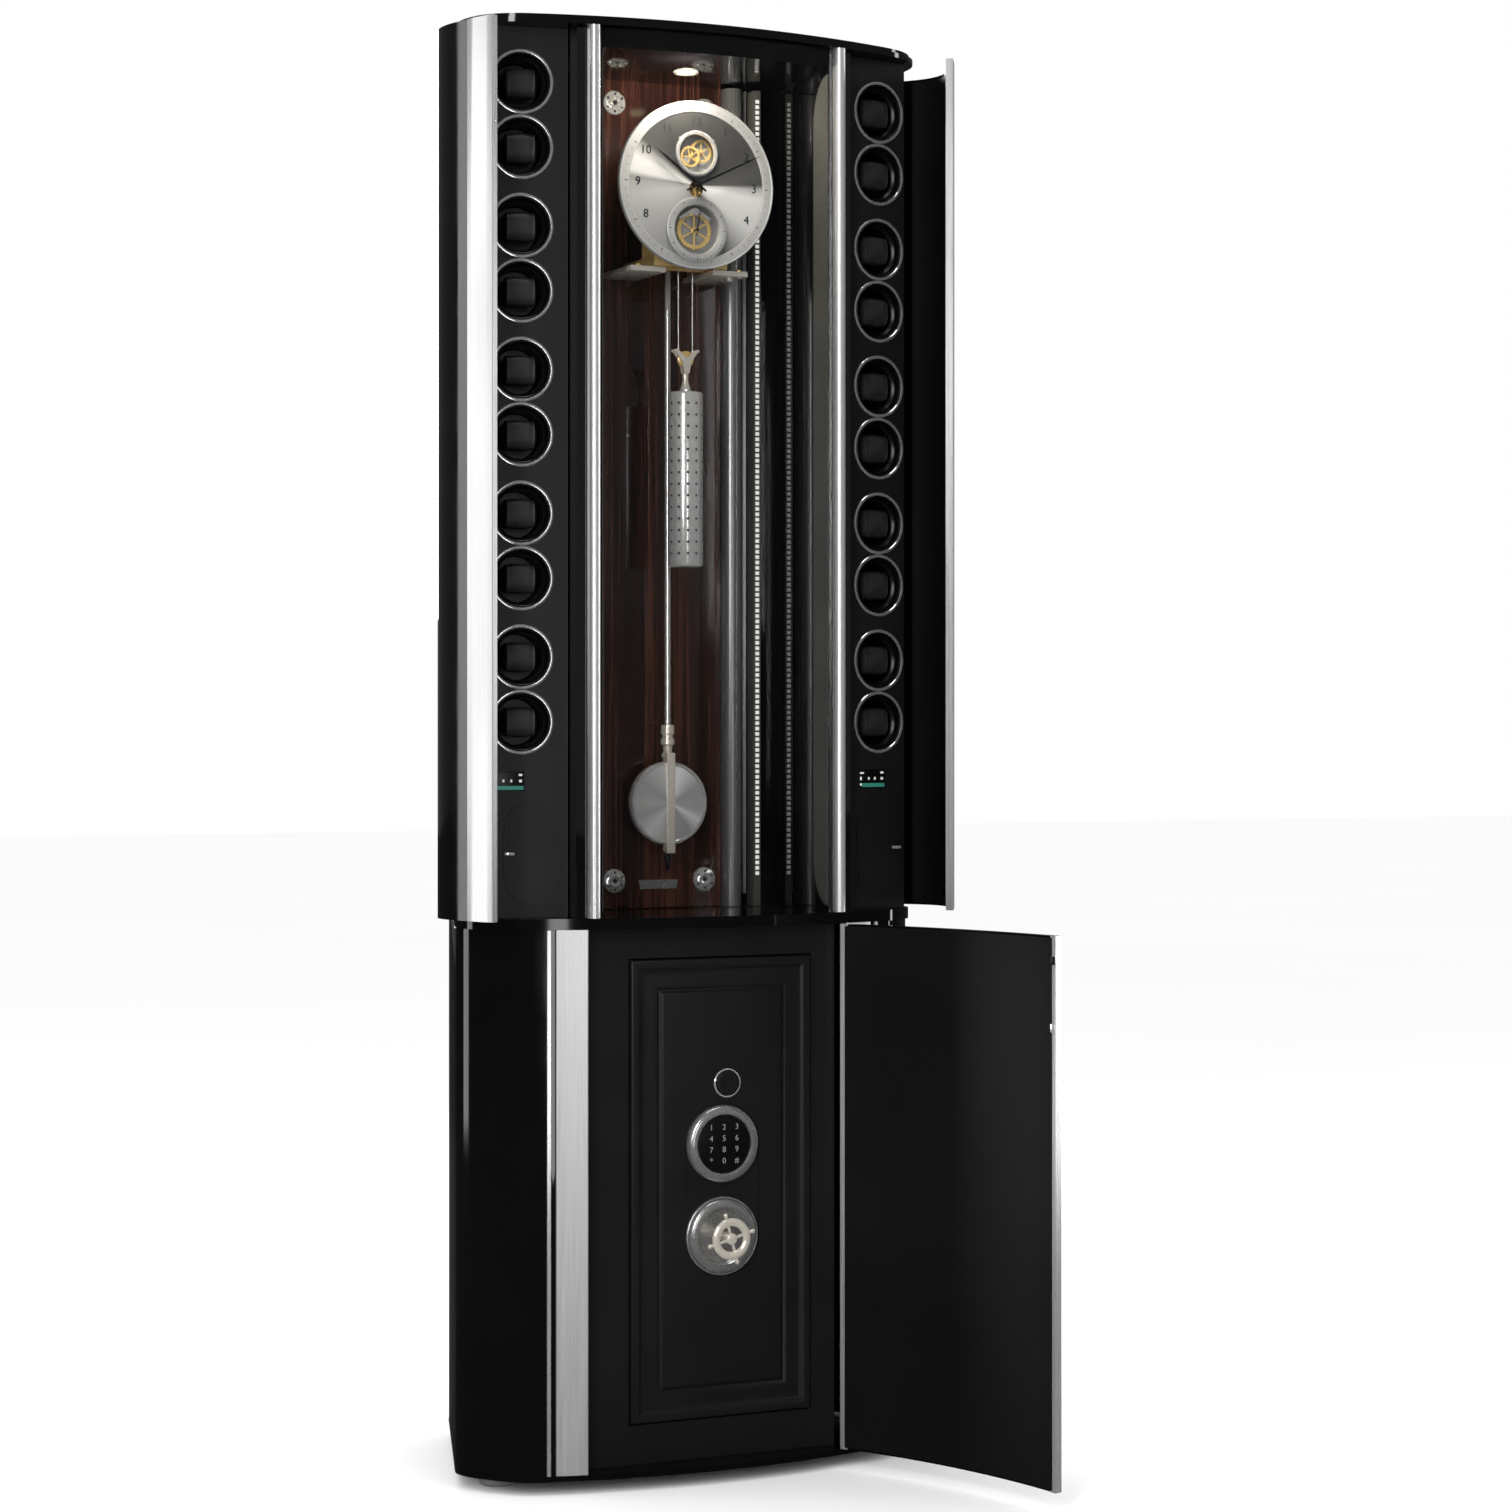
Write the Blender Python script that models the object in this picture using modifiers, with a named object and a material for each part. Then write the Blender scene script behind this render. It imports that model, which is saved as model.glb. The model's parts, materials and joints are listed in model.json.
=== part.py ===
"""Bow-fronted longcase regulator clock with two watch-winder wings and a safe in its base.

Blender 4.5, metres, +Z up. The front faces -Y. Every sub-part is one named object, parented to
clock_frame, whose origin lies on the floor on the centre line, at the plane of the bay's strips.
"""
import math

import bmesh
import bpy
from mathutils import Vector

# Driving dimensions, in metres
FRONT_PLANE_Y = -0.05          # where the bay's strips stand in the part's own frame
GAP = 0.0003                   # air kept between pieces that touch
FOOT_HEIGHT = 0.020
BASE_TOP = 0.0285
WAIST_BOTTOM = 0.8463
WAIST_TOP = 0.863
CAP_BOTTOM = 2.205
CAP_TOP = 2.219
BOARD = 0.016                  # side panel thickness
BACK_Y = 0.490
BACK_THICKNESS = 0.016

BOW_APEX_Y = -0.022            # the front bow in plan
BOW_RADIUS = 1.05
BOW_END_X = 0.300
CORNER_X, CORNER_Y = 0.380, 0.135
REAR_X = 0.262
CORNER_UPPER = (0.045, 0.070)  # Bezier handle lengths of the front corners
CORNER_LOWER = (0.020, 0.045)

STRIP_INNER_X, STRIP_OUTER_X = 0.197, 0.2145
LOWER_STRIP_INNER_X, LOWER_STRIP_OUTER_X = 0.2165, 0.2641
LOWER_STRIP_BACK_Y = 0.026
BAY_WALL_X, BAY_WALL_OUTER_X, BAY_WALL_BACK_Y = 0.190, 0.205, 0.460
BAY_FLANGE_X, BAY_FLANGE_BACK_Y = 0.2300, 0.044

PANEL_TILT = math.radians(10.0)
RING_X, RING_Y = 0.302, 0.058
CUP_RADIUS, CUP_DEPTH, CUP_WALL = 0.043, 0.060, 0.002
CUSHION_WIDTH, CUSHION_HEIGHT = 0.049, 0.045
PAIR_TOP_Z, PAIR_STEP, RING_STEP = 2.122, 0.2165, 0.098
PAIRS = 5
PANEL_THICKNESS = 0.006
PANEL_REACH_IN, PANEL_REACH_OUT = 0.0713, 0.0508   # from the cups' line, along the panel
PANEL_RETURN = (0.3608, 0.132)
CUP_HOLE_RADIUS = 0.0441

WING_THICKNESS = 0.008
WING_LOW_Z, WING_HIGH_Z = 0.8655, 2.190
WING_FREE_X = 0.2214
WING_HINGE = (0.380, 0.135)
WING_OPEN = {"left": math.radians(-54.4), "right": math.radians(45.3)}

LOWER_DOOR_X = 0.2154
LOWER_DOOR_THICKNESS = 0.012
LOWER_DOOR_HINGE = (0.2154, 0.0003)
LOWER_DOOR_OPEN = math.radians(110.3)

SAFE_X, SAFE_FRONT_Y, SAFE_BACK_Y = 0.213, 0.036, 0.440
SAFE_WALL = 0.030
SAFE_CENTRE_X = 0.0175         # the safe's door stands nearer its hinge side
SAFE_MOUTH_HALF, SAFE_MOUTH_LOW, SAFE_MOUTH_HIGH = 0.154, 0.088, 0.798
SAFE_PLATE_HALF, SAFE_PLATE_LOW, SAFE_PLATE_HIGH = 0.1520, 0.0900, 0.7960
SAFE_DOOR_HALF, SAFE_DOOR_LOW, SAFE_DOOR_HIGH = 0.145, 0.095, 0.791
SAFE_DOOR_FRONT_Y, SAFE_PLATE_BACK_Y, SAFE_DOOR_BACK_Y = 0.030, 0.041, 0.080
SAFE_HINGE_X, SAFE_HINGE_Y = SAFE_CENTRE_X + 0.1535, 0.0285
GROOVE_OUTER, GROOVE_INNER, GROOVE_DEPTH = 0.036, 0.050, 0.004   # insets from the plate's edge
RECESS_RADIUS, RECESS_FLOOR_Y = 0.0625, 0.0325
KEYPAD_RADIUS, HANDLE_Y = 0.0595, -0.0042
KEYPAD_Z, HANDLE_Z, BUTTON_Z = 0.510, 0.368, 0.603
BUTTON_X, BUTTON_BACK_Y, BUTTON_HOLE = SAFE_CENTRE_X + 0.008, 0.0387, 0.0205

DIAL_Z, DIAL_RADIUS, DIAL_FRONT_Y = 1.991, 0.131, 0.088
APERTURE_Z = DIAL_Z + 0.049
SECONDS_Z = DIAL_Z - 0.069
PLATE_FRONT_Y, PLATE_BACK_Y = 0.110, 0.157
PLATE_THICKNESS = 0.003
DRUM_X, DRUM_Z, DRUM_RADIUS = -0.008, 1.925, 0.0185
WEIGHT_Y, WEIGHT_RADIUS, WEIGHT_LOW, WEIGHT_HIGH = 0.131, 0.0275, 1.400, 1.674
PULLEY_Z, PULLEY_RADIUS, CABLE_RADIUS = 1.725, 0.0105, 0.0011
PENDULUM_Y, PENDULUM_TOP_Z = 0.200, 2.030
BOB_Z, BOB_RADIUS = 1.030, 0.0665
BACKBOARD_Y = 0.235

for old in list(bpy.data.objects):
    bpy.data.objects.remove(old, do_unlink=True)
clock = bpy.data.collections.new("longcase_clock")
cutters = bpy.data.collections.new("cutters")
bpy.context.scene.collection.children.link(clock)
bpy.context.scene.collection.children.link(cutters)

clock_frame = bpy.data.objects.new("clock_frame", None)
clock_frame.location = (0, FRONT_PLANE_Y, 0)
clock.objects.link(clock_frame)


def material(name, color, roughness, metallic=0.0, alpha=1.0):
    """A Principled material."""
    made = bpy.data.materials.new(name)
    made.use_nodes = True
    shader = made.node_tree.nodes["Principled BSDF"]
    shader.inputs["Base Color"].default_value = (*color, 1)
    shader.inputs["Roughness"].default_value = roughness
    shader.inputs["Metallic"].default_value = metallic
    shader.inputs["Alpha"].default_value = alpha
    return made


LACQUER = material("piano_black", (0.006, 0.006, 0.007), 0.08)
SATIN = material("satin_black", (0.016, 0.017, 0.017), 0.45)
SAFE_PAINT = material("safe_black", (0.013, 0.014, 0.014), 0.5)
ALUMINIUM = material("brushed_aluminium", (0.55, 0.55, 0.55), 0.3, 1.0)
CHROME = material("chrome", (0.75, 0.75, 0.74), 0.1, 1.0)
DIAL_SILVER = material("dial_silver", (0.68, 0.67, 0.64), 0.3, 1.0)
BRASS = material("gilt_brass", (0.75, 0.52, 0.2), 0.25, 1.0)
BLUED = material("blackened_steel", (0.02, 0.02, 0.03), 0.3, 0.8)
WOOD = material("macassar", (0.035, 0.015, 0.01), 0.15)
LEATHER = material("black_leather", (0.014, 0.014, 0.014), 0.5)
CLEAR = material("clear_glass", (0.95, 0.97, 0.97), 0.02, 0.0, 0.15)


def place(obj, parent=clock_frame, location=(0, 0, 0), rotation=(0, 0, 0)):
    """Hang an object on its parent at a local place."""
    obj.parent = parent
    obj.location = location
    obj.rotation_euler = rotation
    return obj


def finish(mesh, name, finish_material, collection=clock):
    """Make an object of a mesh, with one material and crisp edges where it bends sharply."""
    obj = bpy.data.objects.new(name, mesh)
    collection.objects.link(obj)
    mesh.materials.append(finish_material)
    if collection is cutters:
        obj.hide_render = True
        obj.display_type = "WIRE"
    else:
        mesh.shade_smooth()
        mesh.set_sharp_from_angle(angle=math.radians(35))
    return obj


def block(name, low, high, finish_material, collection=clock, bevel=0.0):
    """A box between two corners, its origin at the parent's origin."""
    size = Vector(high) - Vector(low)
    middle = (Vector(high) + Vector(low)) / 2
    bm = bmesh.new()
    bmesh.ops.create_cube(bm, size=1.0)
    bmesh.ops.scale(bm, vec=size, verts=bm.verts)
    bmesh.ops.translate(bm, vec=middle, verts=bm.verts)
    mesh = bpy.data.meshes.new(name)
    bm.to_mesh(mesh)
    bm.free()
    obj = finish(mesh, name, finish_material, collection)
    if bevel:
        edge = obj.modifiers.new("edge", "BEVEL")
        edge.width = bevel
        edge.segments = 1
    return place(obj)


def rod(name, centre, radius, length, axis, finish_material, segments=16):
    """A cylinder centred on a point, along X, Y or Z."""
    bm = bmesh.new()
    bmesh.ops.create_cone(bm, cap_ends=True, segments=segments, radius1=radius, radius2=radius,
                          depth=length)
    mesh = bpy.data.meshes.new(name)
    bm.to_mesh(mesh)
    bm.free()
    turn = {"X": (0, math.pi / 2, 0), "Y": (math.pi / 2, 0, 0), "Z": (0, 0, 0)}[axis]
    return place(finish(mesh, name, finish_material), location=centre, rotation=turn)


def turned(name, profile, finish_material, steps, closed=False):
    """A shape of revolution about local Z, from (radius, height) points, outer side downwards."""
    mesh = bpy.data.meshes.new(name)
    edges = [(i, i + 1) for i in range(len(profile) - 1)]
    if closed:
        edges.append((len(profile) - 1, 0))
    mesh.from_pydata([(radius, 0, height) for radius, height in profile], edges, [])
    obj = finish(mesh, name, finish_material)
    screw = obj.modifiers.new("turning", "SCREW")
    screw.steps = steps
    screw.render_steps = steps
    screw.use_merge_vertices = True
    screw.merge_threshold = 0.00001
    return place(obj)


def slab(name, outline, low_z, high_z, finish_material):
    """A flat outline in plan, drawn as a filled 2D curve and given its height."""
    curve = bpy.data.curves.new(name, "CURVE")
    curve.dimensions = "2D"
    curve.fill_mode = "BOTH"
    curve.extrude = (high_z - low_z) / 2
    spline = curve.splines.new("POLY")
    spline.points.add(len(outline) - 1)
    for point, (x, y) in zip(spline.points, outline):
        point.co = (x, y, 0, 1)
    spline.use_cyclic_u = True
    curve.materials.append(finish_material)
    obj = bpy.data.objects.new(name, curve)
    clock.objects.link(obj)
    return place(obj, location=(0, 0, (low_z + high_z) / 2))


def as_mesh(obj):
    """Turn a curve object into a mesh object of the same name, with its caps welded."""
    bpy.context.view_layer.update()
    seen = obj.evaluated_get(bpy.context.evaluated_depsgraph_get())
    mesh = bpy.data.meshes.new_from_object(seen)
    bm = bmesh.new()
    bm.from_mesh(mesh)
    bmesh.ops.remove_doubles(bm, verts=bm.verts, dist=0.00001)
    bm.to_mesh(mesh)
    bm.free()
    name, where, finish_material = obj.name, obj.matrix_world.copy(), obj.data.materials[0]
    bpy.data.objects.remove(obj, do_unlink=True)
    mesh.materials.clear()
    solid = finish(mesh, name, finish_material)
    solid.parent = clock_frame
    bpy.context.view_layer.update()
    solid.matrix_world = where
    return solid


def combine(obj, other, operation):
    """Join or cut one object with another, which becomes a guide."""
    for collection in list(other.users_collection):
        collection.objects.unlink(other)
    cutters.objects.link(other)
    other.hide_render = True
    other.display_type = "WIRE"
    step = obj.modifiers.new(other.name, "BOOLEAN")
    step.operation = operation
    step.object = other
    step.solver = "EXACT"
    return obj


def on_axis(obj, pivot, angle=0.0):
    """Put a part's origin on its joint axis at pivot, and turn it about +Z by angle."""
    holder = bpy.data.objects.new(obj.name + "_axis", None)
    clock.objects.link(holder)
    place(holder, location=pivot, rotation=(0, 0, angle))
    base = obj.location.copy()
    obj.parent = holder
    obj.location = base - Vector(pivot)
    return holder


# Plan outlines, right half; the left half mirrors x

def bow_y(x):
    """The front bow's surface at x."""
    return BOW_APEX_Y + BOW_RADIUS - math.sqrt(BOW_RADIUS ** 2 - x ** 2)


def bezier(points, t):
    """A point of a cubic Bezier curve in plan."""
    a, b, c, d = (Vector(p) for p in points)
    return a * (1 - t) ** 3 + b * 3 * t * (1 - t) ** 2 + c * 3 * t * t * (1 - t) + d * t ** 3


def half_front(start_x, handles, bow_steps=6, corner_steps=7):
    """Points along the bow from start_x, round the corner, to the widest point."""
    end_y = bow_y(BOW_END_X)
    slope = math.asin(BOW_END_X / BOW_RADIUS)
    leave = Vector((math.cos(slope), math.sin(slope))) * handles[0]
    corner = [(BOW_END_X, end_y), (BOW_END_X + leave.x, end_y + leave.y),
              (CORNER_X + 0.05 * handles[1], CORNER_Y - handles[1]), (CORNER_X, CORNER_Y)]
    step = (BOW_END_X - start_x) / bow_steps
    points = [Vector((start_x + step * i, bow_y(start_x + step * i))) for i in range(bow_steps)]
    return points + [bezier(corner, i / corner_steps) for i in range(corner_steps + 1)]


def inward(points, distance):
    """The same run of points moved sideways to the inner side of the shell."""
    moved = []
    for i, point in enumerate(points):
        along = points[min(i + 1, len(points) - 1)] - points[max(i - 1, 0)]
        moved.append(point + Vector((-along.y, along.x)).normalized() * distance)
    return moved


def mirrored(points, side):
    """Points for the right or the left half."""
    sign = 1 if side == "right" else -1
    return [(sign * x, y) for x, y in points]


def whole_outline(handles, overhang=0.0, rear_y=BACK_Y):
    """The whole plan outline of a board, front to rear edge."""
    right = inward(half_front(0.0, handles), -overhang) + [Vector((REAR_X + overhang, rear_y))]
    right[0].x = 0.0
    return [tuple(p) for p in right] + [(-x, y) for x, y in reversed(right[1:])]


CORNER_WAIST = tuple((a + b) / 2 for a, b in zip(CORNER_UPPER, CORNER_LOWER))
SIDE_END_Y = BACK_Y - BACK_THICKNESS - GAP


def side_x(y):
    """The tapering side's surface at depth y."""
    return CORNER_X + (REAR_X - CORNER_X) * (y - CORNER_Y) / (BACK_Y - CORNER_Y)


def build_case():
    """Feet, boards, sides, back, strips and glass."""
    foot_profile = [(0, FOOT_HEIGHT - GAP), (0.026, FOOT_HEIGHT - GAP), (0.030, 0.015),
                    (0.030, 0.002), (0.028, 0), (0, 0)]
    for name, x, y in (("foot_front_left", -0.312, 0.126), ("foot_front_right", 0.312, 0.126),
                       ("foot_back_left", -0.215, 0.430), ("foot_back_right", 0.215, 0.430)):
        turned(name, foot_profile, CHROME, 20).location = (x, y, 0)

    slab("base_board", whole_outline(CORNER_LOWER), FOOT_HEIGHT, BASE_TOP, LACQUER)
    slab("waist_board", whole_outline(CORNER_WAIST, rear_y=SIDE_END_Y), WAIST_BOTTOM, WAIST_TOP,
         LACQUER)
    slab("top_cap", whole_outline(CORNER_UPPER, 0.002), CAP_BOTTOM, CAP_TOP, LACQUER)
    block("back_panel", (-0.250, BACK_Y - BACK_THICKNESS, BASE_TOP + GAP),
          (0.250, BACK_Y, CAP_BOTTOM - GAP), LACQUER)

    for side in ("left", "right"):
        outer = half_front(LOWER_STRIP_OUTER_X + 0.0015, CORNER_LOWER, bow_steps=2)
        outer.append(Vector((side_x(SIDE_END_Y), SIDE_END_Y)))
        shell = outer + list(reversed(inward(outer, BOARD)))
        shell[len(outer)].y = SIDE_END_Y
        shell[-1].x = outer[0].x
        slab("lower_side_" + side, mirrored(shell, side), BASE_TOP + GAP, WAIST_BOTTOM - GAP,
             LACQUER)

        front_y = CORNER_Y + 0.003
        board = [(side_x(front_y), front_y), (side_x(SIDE_END_Y), SIDE_END_Y),
                 (side_x(SIDE_END_Y) - BOARD, SIDE_END_Y), (side_x(front_y) - BOARD, front_y)]
        slab("upper_side_" + side, mirrored(board, side), WAIST_TOP + GAP, CAP_BOTTOM - GAP,
             LACQUER)

        fold_x = (LOWER_STRIP_INNER_X + LOWER_STRIP_OUTER_X) / 2
        stile = [(x, bow_y(x)) for x in (LOWER_STRIP_INNER_X, fold_x, LOWER_STRIP_OUTER_X)]
        stile += [(LOWER_STRIP_OUTER_X, LOWER_STRIP_BACK_Y),
                  (LOWER_STRIP_INNER_X, LOWER_STRIP_BACK_Y)]
        slab("lower_strip_" + side, mirrored(stile, side), BASE_TOP + GAP, WAIST_BOTTOM - GAP,
             ALUMINIUM)

        middle_x = (STRIP_INNER_X + STRIP_OUTER_X) / 2
        half_width = (STRIP_OUTER_X - STRIP_INNER_X) / 2
        rounded = [(middle_x - half_width * math.cos(a), 0.002 - 0.008 * math.sin(a))
                   for a in (math.pi * i / 8 for i in range(9))]
        rounded += [(STRIP_OUTER_X, 0.010), (STRIP_INNER_X, 0.010)]
        slab("bay_strip_" + side, mirrored(rounded, side), WAIST_TOP + GAP, CAP_BOTTOM - GAP,
             ALUMINIUM)

        wall = [(BAY_WALL_X, 0.0103), (BAY_FLANGE_X, 0.0143), (BAY_FLANGE_X, BAY_FLANGE_BACK_Y),
                (BAY_WALL_OUTER_X, BAY_FLANGE_BACK_Y), (BAY_WALL_OUTER_X, BAY_WALL_BACK_Y),
                (BAY_WALL_X, BAY_WALL_BACK_Y)]
        slab("bay_wall_" + side, mirrored(wall, side), WAIST_TOP + GAP, CAP_BOTTOM - GAP, LACQUER)

    edge_x = STRIP_INNER_X - GAP
    across = [Vector((edge_x * (i / 5 - 1), 0)) for i in range(11)]
    pane = [(p.x, bow_y(p.x) + 0.008) for p in across]
    pane += [(p.x, bow_y(p.x) + 0.004) for p in reversed(across)]
    slab("bay_glass", list(reversed(pane)), WAIST_TOP + 0.001, CAP_BOTTOM - 0.001, CLEAR)


def ring_heights():
    """Heights of the winder centres, top to bottom."""
    return [PAIR_TOP_Z - PAIR_STEP * pair - RING_STEP * place_in_pair
            for pair in range(PAIRS) for place_in_pair in (0, 1)]


def build_winders():
    """The two tilted winder panels and the twenty rotors."""
    floor = -CUP_DEPTH + 0.004
    cup = [(0, floor), (CUP_RADIUS - CUP_WALL, floor), (CUP_RADIUS - CUP_WALL, 0),
           (CUP_RADIUS, 0), (CUP_RADIUS, -CUP_DEPTH), (0, -CUP_DEPTH)]
    for side, sign in (("left", -1), ("right", 1)):
        along = Vector((math.cos(PANEL_TILT), math.sin(PANEL_TILT)))
        behind = Vector((-math.sin(PANEL_TILT), math.cos(PANEL_TILT))) * PANEL_THICKNESS
        centre = Vector((RING_X, RING_Y))
        inner, outer = centre - along * PANEL_REACH_IN, centre + along * PANEL_REACH_OUT
        end = Vector(PANEL_RETURN)
        outline = [inner, outer, end, end - Vector((0.005, 0)), outer + behind - along * 0.0045,
                   inner + Vector((0, PANEL_THICKNESS / math.cos(PANEL_TILT)))]
        panel = slab("winder_panel_" + side, mirrored(outline, side), WAIST_TOP + GAP,
                     CAP_BOTTOM - GAP, SATIN)
        panel = as_mesh(panel)
        aim = (math.pi / 2, 0, sign * PANEL_TILT)
        cutter = bmesh.new()
        for z in ring_heights():
            made = bmesh.ops.create_cone(cutter, cap_ends=True, segments=20,
                                         radius1=CUP_HOLE_RADIUS, radius2=CUP_HOLE_RADIUS,
                                         depth=0.04)
            bmesh.ops.translate(cutter, vec=(0, z, 0), verts=made["verts"])
        mesh = bpy.data.meshes.new("cup_holes_" + side)
        cutter.to_mesh(mesh)
        cutter.free()
        holes = finish(mesh, mesh.name, SATIN, cutters)
        place(holes, location=(sign * RING_X, RING_Y, 0), rotation=aim)
        combine(panel, holes, "DIFFERENCE")

        for number, z in enumerate(ring_heights(), 1):
            rotor = turned(f"rotor_{side}_{number:02d}", cup, LEATHER, 16)
            place(rotor, location=(sign * RING_X, RING_Y, z), rotation=aim)
            cushion = block(f"cushion_{side}_{number:02d}",
                            (-CUSHION_WIDTH / 2, -CUSHION_HEIGHT / 2, floor - 0.002),
                            (CUSHION_WIDTH / 2, CUSHION_HEIGHT / 2, -0.001), LEATHER, cutters)
            place(cushion, location=(sign * RING_X, RING_Y, z), rotation=aim)
            combine(rotor, cushion, "UNION")


def build_doors():
    """The two curved wing doors and the bowed lower door, each hung on its hinge line."""
    for side, sign in (("left", -1), ("right", 1)):
        outer = half_front(WING_FREE_X, CORNER_UPPER, bow_steps=3)
        outer[-1] = Vector((CORNER_X, CORNER_Y - 0.002))
        shell = outer + list(reversed(inward(outer, WING_THICKNESS)))
        door = slab("wing_door_" + side, mirrored(shell, side), WING_LOW_Z, WING_HIGH_Z, LACQUER)
        on_axis(door, (sign * WING_HINGE[0], WING_HINGE[1], 0), WING_OPEN[side])

    edge = LOWER_DOOR_X - 0.0005
    across = [edge * (i / 7 - 1) for i in range(15)]
    shell = [(x, bow_y(x)) for x in across]
    shell += [(x, bow_y(x) + LOWER_DOOR_THICKNESS) for x in reversed(across)]
    door = slab("lower_door", shell, BASE_TOP + 0.0015, WAIST_BOTTOM - 0.0015, LACQUER)
    on_axis(door, (*LOWER_DOOR_HINGE, 0), LOWER_DOOR_OPEN)


def build_safe():
    """The safe's body, door, keypad, handle and button."""
    body = block("safe_body", (-SAFE_X, SAFE_FRONT_Y, BASE_TOP + GAP),
                 (SAFE_X, SAFE_BACK_Y, WAIST_BOTTOM - GAP), SAFE_PAINT)
    combine(body, block("safe_cavity", (SAFE_CENTRE_X - SAFE_MOUTH_HALF, -0.05, SAFE_MOUTH_LOW),
                        (SAFE_CENTRE_X + SAFE_MOUTH_HALF, SAFE_BACK_Y - SAFE_WALL,
                         SAFE_MOUTH_HIGH), SAFE_PAINT), "DIFFERENCE")

    def panel(name, half, low_z, high_z, near, far, bevel=0.0):
        """A block centred on the safe door's middle."""
        return block(name, (SAFE_CENTRE_X - half, near, low_z),
                     (SAFE_CENTRE_X + half, far, high_z), SAFE_PAINT, bevel=bevel)

    door = panel("safe_door", SAFE_PLATE_HALF, SAFE_PLATE_LOW, SAFE_PLATE_HIGH,
                 SAFE_DOOR_FRONT_Y, SAFE_PLATE_BACK_Y, 0.003)
    combine(door, panel("door_body", SAFE_DOOR_HALF, SAFE_DOOR_LOW, SAFE_DOOR_HIGH,
                        SAFE_PLATE_BACK_Y - 0.005, SAFE_DOOR_BACK_Y), "UNION")
    outer, inner = GROOVE_OUTER, GROOVE_INNER
    groove = panel("panel_groove", SAFE_PLATE_HALF - outer, SAFE_PLATE_LOW + outer,
                   SAFE_PLATE_HIGH - outer, -0.05, SAFE_DOOR_FRONT_Y + GROOVE_DEPTH)
    combine(groove, panel("raised_panel", SAFE_PLATE_HALF - inner, SAFE_PLATE_LOW + inner,
                          SAFE_PLATE_HIGH - inner, -0.10, 0.10), "DIFFERENCE")
    combine(door, groove, "DIFFERENCE")
    slot = panel("recess_middle", RECESS_RADIUS, HANDLE_Z, KEYPAD_Z, -0.05, RECESS_FLOOR_Y)
    for name, z in (("recess_low_end", HANDLE_Z), ("recess_high_end", KEYPAD_Z)):
        end = rod(name, (SAFE_CENTRE_X, (RECESS_FLOOR_Y - 0.05) / 2, z), RECESS_RADIUS,
                  RECESS_FLOOR_Y + 0.05, "Y", SAFE_PAINT, segments=32)
        combine(slot, end, "UNION")
    combine(door, slot, "DIFFERENCE")
    combine(door, rod("button_pocket", (BUTTON_X, 0.024, BUTTON_Z), BUTTON_HOLE, 0.036, "Y",
                      SAFE_PAINT, segments=24), "DIFFERENCE")
    combine(door, rod("spindle_hole", (SAFE_CENTRE_X, 0.05, HANDLE_Z), 0.0055, 0.080, "Y",
                      SAFE_PAINT), "DIFFERENCE")
    on_axis(door, (SAFE_HINGE_X, SAFE_HINGE_Y, 0))

    facing = (math.pi / 2, 0, 0)
    pad = [(0, 0.0105), (KEYPAD_RADIUS - 0.0140, 0.0105), (KEYPAD_RADIUS - 0.0125, 0.0125),
           (KEYPAD_RADIUS - 0.003, 0.0125), (KEYPAD_RADIUS, 0.0095), (KEYPAD_RADIUS, 0), (0, 0)]
    keypad = turned("safe_keypad", pad, ALUMINIUM, 32)
    place(keypad, location=(SAFE_CENTRE_X, RECESS_FLOOR_Y - GAP, KEYPAD_Z), rotation=facing)

    ring = [(0.0255, 0.0035), (0.0290, 0.0035), (0.0320, 0.0010), (0.0320, -0.0025),
            (0.0290, -0.0050), (0.0220, -0.0050), (0.0195, -0.0025), (0.0195, 0.0010)]
    handle = turned("safe_handle", ring, CHROME, 24, closed=True)
    x, y = SAFE_CENTRE_X, HANDLE_Y
    place(handle, location=(x, y, HANDLE_Z), rotation=facing)
    spindle = rod("spindle", (x, y + 0.034, HANDLE_Z), 0.005, 0.062, "Y", CHROME)
    hub = rod("handle_hub", (x, y + 0.0055, HANDLE_Z), 0.009, 0.014, "Y", CHROME)
    spokes = [block(name, low, high, CHROME) for name, low, high in (
        ("spoke_across", (x - 0.022, y + 0.0005, HANDLE_Z - 0.0025),
         (x + 0.022, y + 0.0035, HANDLE_Z + 0.0025)),
        ("spoke_upright", (x - 0.0025, y + 0.0003, HANDLE_Z - 0.022),
         (x + 0.0025, y + 0.0037, HANDLE_Z + 0.022)))]
    pins = [rod(f"grip_pin_{i}", (x + 0.0355 * math.sin(a), y, HANDLE_Z + 0.0355 * math.cos(a)),
                0.0032, 0.012, "X", CHROME, segments=10)
            for i, a in enumerate(math.radians(15 + 90 * k) for k in range(4))]
    for pin, a in zip(pins, (math.radians(15 + 90 * k) for k in range(4))):
        pin.rotation_euler = (0, a, 0)
    for extra in (hub, *spokes, spindle, *pins):
        combine(handle, extra, "UNION")

    cap = [(0, 0.015), (0.016, 0.015), (0.0192, 0.012), (0.0192, 0), (0, 0)]
    button = turned("safe_button", cap, SAFE_PAINT, 24)
    place(button, location=(BUTTON_X, BUTTON_BACK_Y, BUTTON_Z), rotation=facing)


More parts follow.
